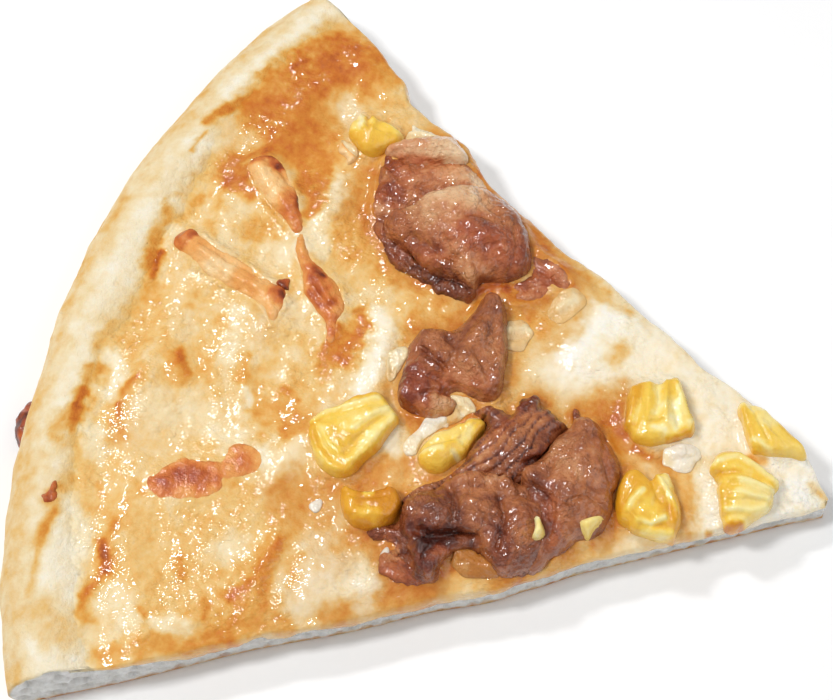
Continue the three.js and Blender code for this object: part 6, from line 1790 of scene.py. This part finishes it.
def cheese_relief(points, tone, smooth):
    """Waves, swellings of browned parts, beads in the sauce and folds of cream, calm under loose pieces."""
    lively = 1 - 0.75 * smooth
    cream = smoothstep(-tone, 0.3, 0.8)
    waves = 0.16 * noise(points, 2.6, 3) + 0.08 * noise(points, 1.4, 4) + 0.06 * noise(points, 0.75, 5)
    swelling = 0.25 * smoothstep(tone, 0.5, 0.95) * lively
    beads = 0.05 * smooth * smoothstep(grains(points, 1.5, 6), 0.2, 0.7)
    folds = cream * (0.16 * noise(points, 3.4, 7) - 0.1 * np.abs(noise(points, 2.4, 8)))
    return (lively * waves + (swelling + beads) + folds) * (1 - covered(points))


def cheese_piece(material):
    """The layer of cheese and sauce."""
    points, triangles = cheese_points()
    normal = normals(points, triangles)
    radius = np.hypot(points[:, 0], points[:, 1] - CENTRE_Y)
    turn = np.arctan2(points[:, 0], points[:, 1] - CENTRE_Y)
    ground = 0.1 + 0.2 * noise(points, 6, 1) + 0.2 * noise(points, 2.4, 2) + 0.1 * noise(points, 1.1, 13)
    end = cheese_end(turn)
    dry = smoothstep(radius, end - 4, end - 1)
    ground = lerp(ground, crust_tone(points), dry)
    tone = painted(points, TONES, ground)
    juice = painted(points, JUICE, np.zeros(len(points)), 0.7)
    smooth = painted(points, SMOOTH, np.zeros(len(points)), 0.7)
    thin = smoothstep(radius, end - 4, end - 1.5)
    thin_relief = crust_relief(points) + 0.05 * noise(points, 1.6, 26)
    amount = lerp(cheese_relief(points, tone, smooth), thin_relief, thin)
    amount = np.where(normal[:, 2] < -0.6, 0, amount)
    rise, stain = meniscus(points)
    rise = np.where(normal[:, 2] > 0, rise, 0)
    tone = lerp(tone, np.maximum(tone, 0.5), stain)
    juice = np.maximum(juice, 0.7 * stain)
    points = points + normal * amount[:, None]
    points[:, 2] += rise
    values = {"tone": tone, "juice": juice, "smooth": smooth, "dry": dry}
    return belongs(mesh_object("cheese_layer", points, triangles, material, values), "cheese", "cheese")


# ---- Toppings ----

def rounded(outline, pitch):
    """The closed smooth curve through an outline's points, as evenly spaced points that run anticlockwise."""
    corners = np.array(outline, float)
    t = np.linspace(0, 1, 24, endpoint=False)[:, None]
    a, b, c, d = (np.roll(corners, shift, axis=0)[:, None] for shift in (1, 0, -1, -2))
    curve = 2 * b + (c - a) * t + (2 * a - 5 * b + 4 * c - d) * t ** 2 + (3 * b - a - 3 * c + d) * t ** 3
    curve = 0.5 * curve.reshape(-1, 2)
    closed = np.vstack([curve, curve[:1]])
    run = np.concatenate([[0], np.cumsum(np.linalg.norm(np.diff(closed, axis=0), axis=1))])
    stops = np.linspace(0, run[-1], max(12, round(run[-1] / pitch)), endpoint=False)
    rim = np.column_stack([np.interp(stops, run, closed[:, k]) for k in (0, 1)])
    area = np.sum(rim[:, 0] * np.roll(rim[:, 1], -1) - rim[:, 1] * np.roll(rim[:, 0], -1))
    return rim if area > 0 else rim[::-1]


def inside(points, rim):
    """Which points lie inside a closed rim."""
    found = np.zeros(len(points), bool)
    for (x0, y0), (x1, y1) in zip(rim, np.roll(rim, -1, axis=0)):
        if y0 == y1:
            continue
        crosses = (points[:, 1] > min(y0, y1)) & (points[:, 1] <= max(y0, y1))
        found ^= crosses & (points[:, 0] < x0 + (points[:, 1] - y0) * (x1 - x0) / (y1 - y0))
    return found


def patch(rim, pitch):
    """Points and triangles that fill a rim evenly. The rim's points come first."""
    low, high = rim.min(axis=0), rim.max(axis=0)
    grid = np.array([
        (x + (row % 2) * pitch / 2, y)
        for row, y in enumerate(np.arange(low[1], high[1], pitch * 0.87))
        for x in np.arange(low[0], high[0], pitch)
    ])
    closed = np.vstack([rim, rim[:1]])
    grid = grid[inside(grid, rim)]
    grid = grid[line_distance(grid, closed)[0] > 0.5 * pitch]
    everything = np.vstack([rim, grid])
    edges = [(i, (i + 1) % len(rim)) for i in range(len(rim))]
    found = delaunay_2d_cdt([Vector(p) for p in everything], edges, [], 1, 1e-5)
    points = np.array([tuple(p) for p in found[0]])
    triangles = np.array(found[2])
    a, b, c = (points[triangles[:, k]] for k in range(3))
    turned = (b[:, 0] - a[:, 0]) * (c[:, 1] - a[:, 1]) - (b[:, 1] - a[:, 1]) * (c[:, 0] - a[:, 0]) < 0
    triangles[turned] = triangles[turned][:, ::-1]
    return points, triangles


def lump(outline, height, shoulder, crown=0.35, soft_side=(0, 0)):
    """A rounded lump over an outline: points, triangles, and the numbers of its lowest rim.

    Its side turns over into its top within the shoulder's width, which is twice as much on its soft side. Its
    top goes on rising by the crown's share of the height up to the middle.
    """
    rim = rounded(outline, TOPPING_PITCH)
    flat, triangles = patch(rim, TOPPING_PITCH)
    closed = np.vstack([rim, rim[:1]])
    distance, nearest = line_distance(flat, closed)
    facing = (nearest - rim.mean(axis=0)) @ np.array(soft_side, float)
    if np.any(soft_side):
        shoulder = shoulder * (1 + smoothstep(facing / np.abs(facing).max(), -0.2, 0.8))
    share = np.clip(distance / shoulder, 0, 1)
    inset = shoulder * (1 - np.cos(share * math.pi / 2))
    pull = np.where(share < 1, inset / np.maximum(distance, 1e-6), 1)[:, None]
    plan = nearest + (flat - nearest) * pull
    rise = (1 - crown) * np.sin(share * math.pi / 2) + crown * smoothstep(distance, 0, distance.max())
    x, y = plan.T
    top = np.column_stack([x, y, cheese_top(x, y) + 0.1 + height * rise])
    rings = [top]
    count = len(rim)
    middle = rim.mean(axis=0)
    for inward, drop in ((0.0, 0.3), (0.02, 0.6), (0.06, EMBED)):
        ring = lerp(rim, middle, inward)
        rings.append(np.column_stack([ring, cheese_top(*ring.T) - drop]))
    starts = [0, len(top), len(top) + count, len(top) + 2 * count]
    walls = []
    for upper, lower in zip(starts, starts[1:]):
        for i in range(count):
            j = (i + 1) % count
            walls += [(upper + i, lower + i, lower + j), (upper + i, lower + j, upper + j)]
    points = np.vstack(rings)
    bottom = [starts[-1] + i for i in range(count)][::-1]
    return points, np.vstack([triangles, np.array(walls)]), bottom


def placed(points, level):
    """Points moved from where they are drawn to where they lie."""
    return np.array(points, float) + (DRAWN_AT - level) * np.array(SHIFT)


def drawn(strokes, level):
    """Strokes moved from where they are drawn to where they lie."""
    return [(value, width, *placed(line, level)) for value, width, *line in strokes]


def topping(name, spec, slot, material, nodes=(), detail=None, loose=False):
    """One piece that lies on the cheese, from its outline, ridges and colours."""
    outline = placed(spec["outline"], spec["level"])
    shape = {key: spec[key] for key in ("crown", "soft_side") if key in spec}
    points, triangles, bottom = lump(outline, spec["height"], spec["shoulder"], **shape)
    if loose and slot != "corn":
        flat = np.column_stack([points[:, :2], 0 * points[:, 2]])
        points[:, :2] += 0.4 * np.column_stack([noise(flat, 1.5, seed) for seed in (51, 52)])
    if loose:
        points[:, 2] += meniscus(points)[0]
    lifts = drawn(spec["lifts"], spec["level"])
    tones = drawn(spec["tones"], spec["level"])
    rise = points[:, 2] - cheese_top(points[:, 0], points[:, 1])
    tone = painted(points, tones, np.full(len(points), float(spec["ground"])))
    power = 1.4 if slot == "corn" else 2
    amount = lifted(points, lifts, power) * smoothstep(rise, 0.1, 0.6 * spec["height"])
    values = {"tone": tone}
    if detail:
        amount, values = detail(points, amount, values, rise, spec)
    normal = normals(points, triangles)
    points = points + normal * amount[:, None]
    return belongs(mesh_object(name, points, triangles, material, values, bottom), slot, *nodes)


def torn_layers(points, rise, spec):
    """Relief and tone of torn meat, whose layers follow a line; the tone holds painted shade at the foot of
    each layer.
    """
    spacing, guide = spec["layers"]
    distance, nearest = line_distance(points[:, :2], placed(guide, spec["level"]))
    side = np.sign(points[:, 1] - nearest[:, 1])
    depth = (side * distance + 0.7 * noise(points, 4, 16) + 0.25 * noise(points, 1.3, 17)) / spacing
    step = depth - np.floor(depth)
    strength = np.clip(0.8 + 0.7 * noise(points, 3, 25), 0.1, 1.3)
    relief = 0.34 * strength * (smoothstep(step, 0, 0.3) - step) * smoothstep(rise, 0.4, 1.6)
    # Darker at the foot of each layer's rise, as painted shade, and paler beyond it.
    tone = strength * (0.4 * np.exp(-((step - 0.02) / 0.12) ** 2) - 0.15 * smoothstep(step, 0.2, 0.6))
    return relief, tone


def meat_detail(points, amount, values, rise, spec):
    """Wrinkles and fibres of the meat, with painted shade in its creases, in the steps of its layers and at its
    foot.
    """
    wrinkled = spec.get("wrinkled", 1)
    crease = 1 - smoothstep(np.abs(noise(points, 3, 11)), 0, 0.12)
    fold = 1 - smoothstep(np.abs(noise(points, 1.3, 12)), 0, 0.2)
    amount = amount + 0.25 * noise(points, 3.2, 13) + 0.12 * noise(points, 1.6, 18)
    amount = amount + 0.08 * noise(points, 0.8, 14)
    amount -= wrinkled * (0.2 * crease + 0.1 * fold)
    # The tone is darker in the creases and folds: painted shade.
    tone = values["tone"] + wrinkled * (0.16 * crease + 0.08 * fold)
    tone += 0.16 * noise(points, 2.6, 15) + 0.1 * noise(points, 1.1, 19)
    if "layers" in spec:
        layer_relief, layer_tone_and_shade = torn_layers(points, rise, spec)
        amount = amount + layer_relief
        tone = tone + layer_tone_and_shade
    # Darker near its foot, where it meets the cheese: painted shade.
    tone = tone + 0.22 * (1 - smoothstep(rise, 0, 1.2))
    glaze = painted(points, drawn(spec.get("glaze", []), spec["level"]), np.zeros(len(points)), 0.8)
    return amount, {"tone": tone, "glaze": glaze}


def toast_detail(points, amount, values, rise, spec):
    """Small blisters and mottles of the toasted cheese."""
    amount = amount + 0.13 * noise(points, 1.4, 21) + 0.06 * noise(points, 0.6, 22)
    tone = values["tone"] + 0.2 * noise(points, 1.8, 23)
    return amount, {"tone": tone}


def corn_detail(points, amount, values, rise, spec):
    """Slight dents of the corn's skin, and painted shade at its foot."""
    amount = 0.75 * amount + 0.08 * noise(points, 2, 31) + 0.03 * noise(points, 0.8, 32)
    # Pale tones are softened, and the foot is darkened: painted shade.
    tone = values["tone"] * np.where(values["tone"] < 0, 0.75, 1) + 0.15 * (1 - smoothstep(rise, 0, 0.8))
    return amount, {"tone": tone}


def burnt_drip(material):
    """The drip of sauce that has burnt on to the outside of the crust."""
    around, down = BURNT_DRIP_AROUND, BURNT_DRIP_DOWN
    turns = np.linspace(0, 2 * math.pi, around + 1)[:-1]
    u, v = np.meshgrid(turns, np.linspace(0, math.pi, down + 1), indexing="ij")
    ball = np.stack([np.cos(u) * np.sin(v), np.sin(u) * np.sin(v), np.cos(v)], axis=-1)
    size = np.array(BURNT_DRIP_SIZE) / 2
    points = (ball * size).reshape(-1, 3)
    triangles = []
    for i in range(around):
        for j in range(down):
            a = i * (down + 1) + j
            b = ((i + 1) % around) * (down + 1) + j
            triangles += [(a, a + 1, b + 1), (a, b + 1, b)]
    x, y = polar(BURNT_DRIP_RADIUS, BURNT_DRIP_TURN)
    spin = -BURNT_DRIP_TURN
    plan = points[:, :2] @ np.array([[math.cos(spin), math.sin(spin)], [-math.sin(spin), math.cos(spin)]])
    points = np.column_stack([plan[:, 0] + x, plan[:, 1] + y, points[:, 2] + BURNT_DRIP_HEIGHT])
    points[:, 2] = np.maximum(points[:, 2], 0.05)
    triangles = np.array(triangles)
    rough = 0.35 * noise(points, 1.8, 41) + 0.15 * noise(points, 0.7, 42)
    points = points + normals(points, triangles) * rough[:, None]
    points[:, 2] = np.maximum(points[:, 2], 0)
    tone = 0.85 + 0.35 * noise(points, 1.3, 43)
    return belongs(mesh_object("burnt_drip", points, triangles, material, {"tone": tone}), "toasted_cheese")


def main():
    """Builds the dough, the cheese and all that lies on it."""
    materials = {
        "chicken": meat_material(), "toasted_cheese": toast_material(), "corn": corn_material(),
        "onion": onion_material(),
    }
    slots = {"onion": "cheese"}  # the onion has no slot of its own
    details = {"chicken": meat_detail, "toasted_cheese": toast_detail, "corn": corn_detail}
    dough_piece(dough_material())
    cheese_piece(cheese_material())
    for group, table in (("chicken", MEAT), ("toasted_cheese", TOAST), ("corn", CORN)):
        for name, spec in table.items():
            topping(f"{name}_piece", spec, group, materials[group], (name,), details[group])
    for name, (group, spec) in SCRAPS.items():
        topping(name, spec, slots.get(group, group), materials[group], (), details.get(group), loose=True)
    burnt_drip(materials["toasted_cheese"])


# ---- Camera, light and floor ----

# In metres. The rows of CAMERA_AXES point to the picture's right, to its top and back towards the camera.
CAMERA_AT = (-0.08422, -0.04074, 0.21419)
CAMERA_AXES = ((0.3142, -0.947, -0.0672), (0.868, 0.2579, 0.4243), (-0.3845, -0.1916, 0.903))
FOCAL_LENGTH = 80.09
SENSOR_WIDTH = 36
# Place and size in metres, and power in watts. The first two are small, for glints in the oil.
LIGHTS = {
    "key": ((-0.1, 0.22, 0.5), 0.08, 1.3),
    "glint": ((0.13, 0.24, 0.42), 0.045, 0.65),
    "fill": ((0, -0.35, 0.3), 0.4, 0.5),
}
WORLD_STRENGTH = 0.35
FLOOR_REACH = 1.5
FLOOR_DROP = 0.0002  # below the slice, so that the two don't share a plane


def camera():
    """A camera that looks down on the slice from its left side."""
    lens = bpy.data.cameras.new("camera")
    lens.lens = FOCAL_LENGTH
    lens.sensor_width = SENSOR_WIDTH
    lens.clip_start = 0.01
    lens.clip_end = 20
    obj = bpy.data.objects.new("camera", lens)
    turned = Matrix(CAMERA_AXES).transposed().to_4x4()
    obj.matrix_world = Matrix.Translation(CAMERA_AT) @ turned
    bpy.context.scene.collection.objects.link(obj)
    bpy.context.scene.camera = obj


def area_light(name, at, size, power):
    """A square soft light that points at the slice."""
    light = bpy.data.lights.new(name, "AREA")
    light.size = size
    light.energy = power
    obj = bpy.data.objects.new(name, light)
    obj.location = at
    aim = Vector((0, 0, 0)) - Vector(at)
    obj.rotation_euler = aim.to_track_quat("-Z", "Y").to_euler()
    bpy.context.scene.collection.objects.link(obj)


def studio():
    """Light from all around, from above the crust and from the tip's side, and a pale floor."""
    scene = bpy.context.scene
    scene.view_settings.view_transform = "Standard"
    world = bpy.data.worlds.new("world")
    world.use_nodes = True
    background = world.node_tree.nodes["Background"]
    background.inputs["Color"].default_value = (1, 1, 1, 1)
    background.inputs["Strength"].default_value = WORLD_STRENGTH
    scene.world = world
    for name, (at, size, power) in LIGHTS.items():
        area_light(name, at, size, power)
    floor = bpy.data.meshes.new("floor")
    corners = [(x * FLOOR_REACH, y * FLOOR_REACH, 0) for x, y in ((-1, -1), (1, -1), (1, 1), (-1, 1))]
    floor.from_pydata(corners, [], [(0, 1, 2, 3)])
    floor.materials.append(floor_material())
    obj = bpy.data.objects.new("floor", floor)
    obj.location.z = -FLOOR_DROP
    scene.collection.objects.link(obj)


camera()
studio()
main()
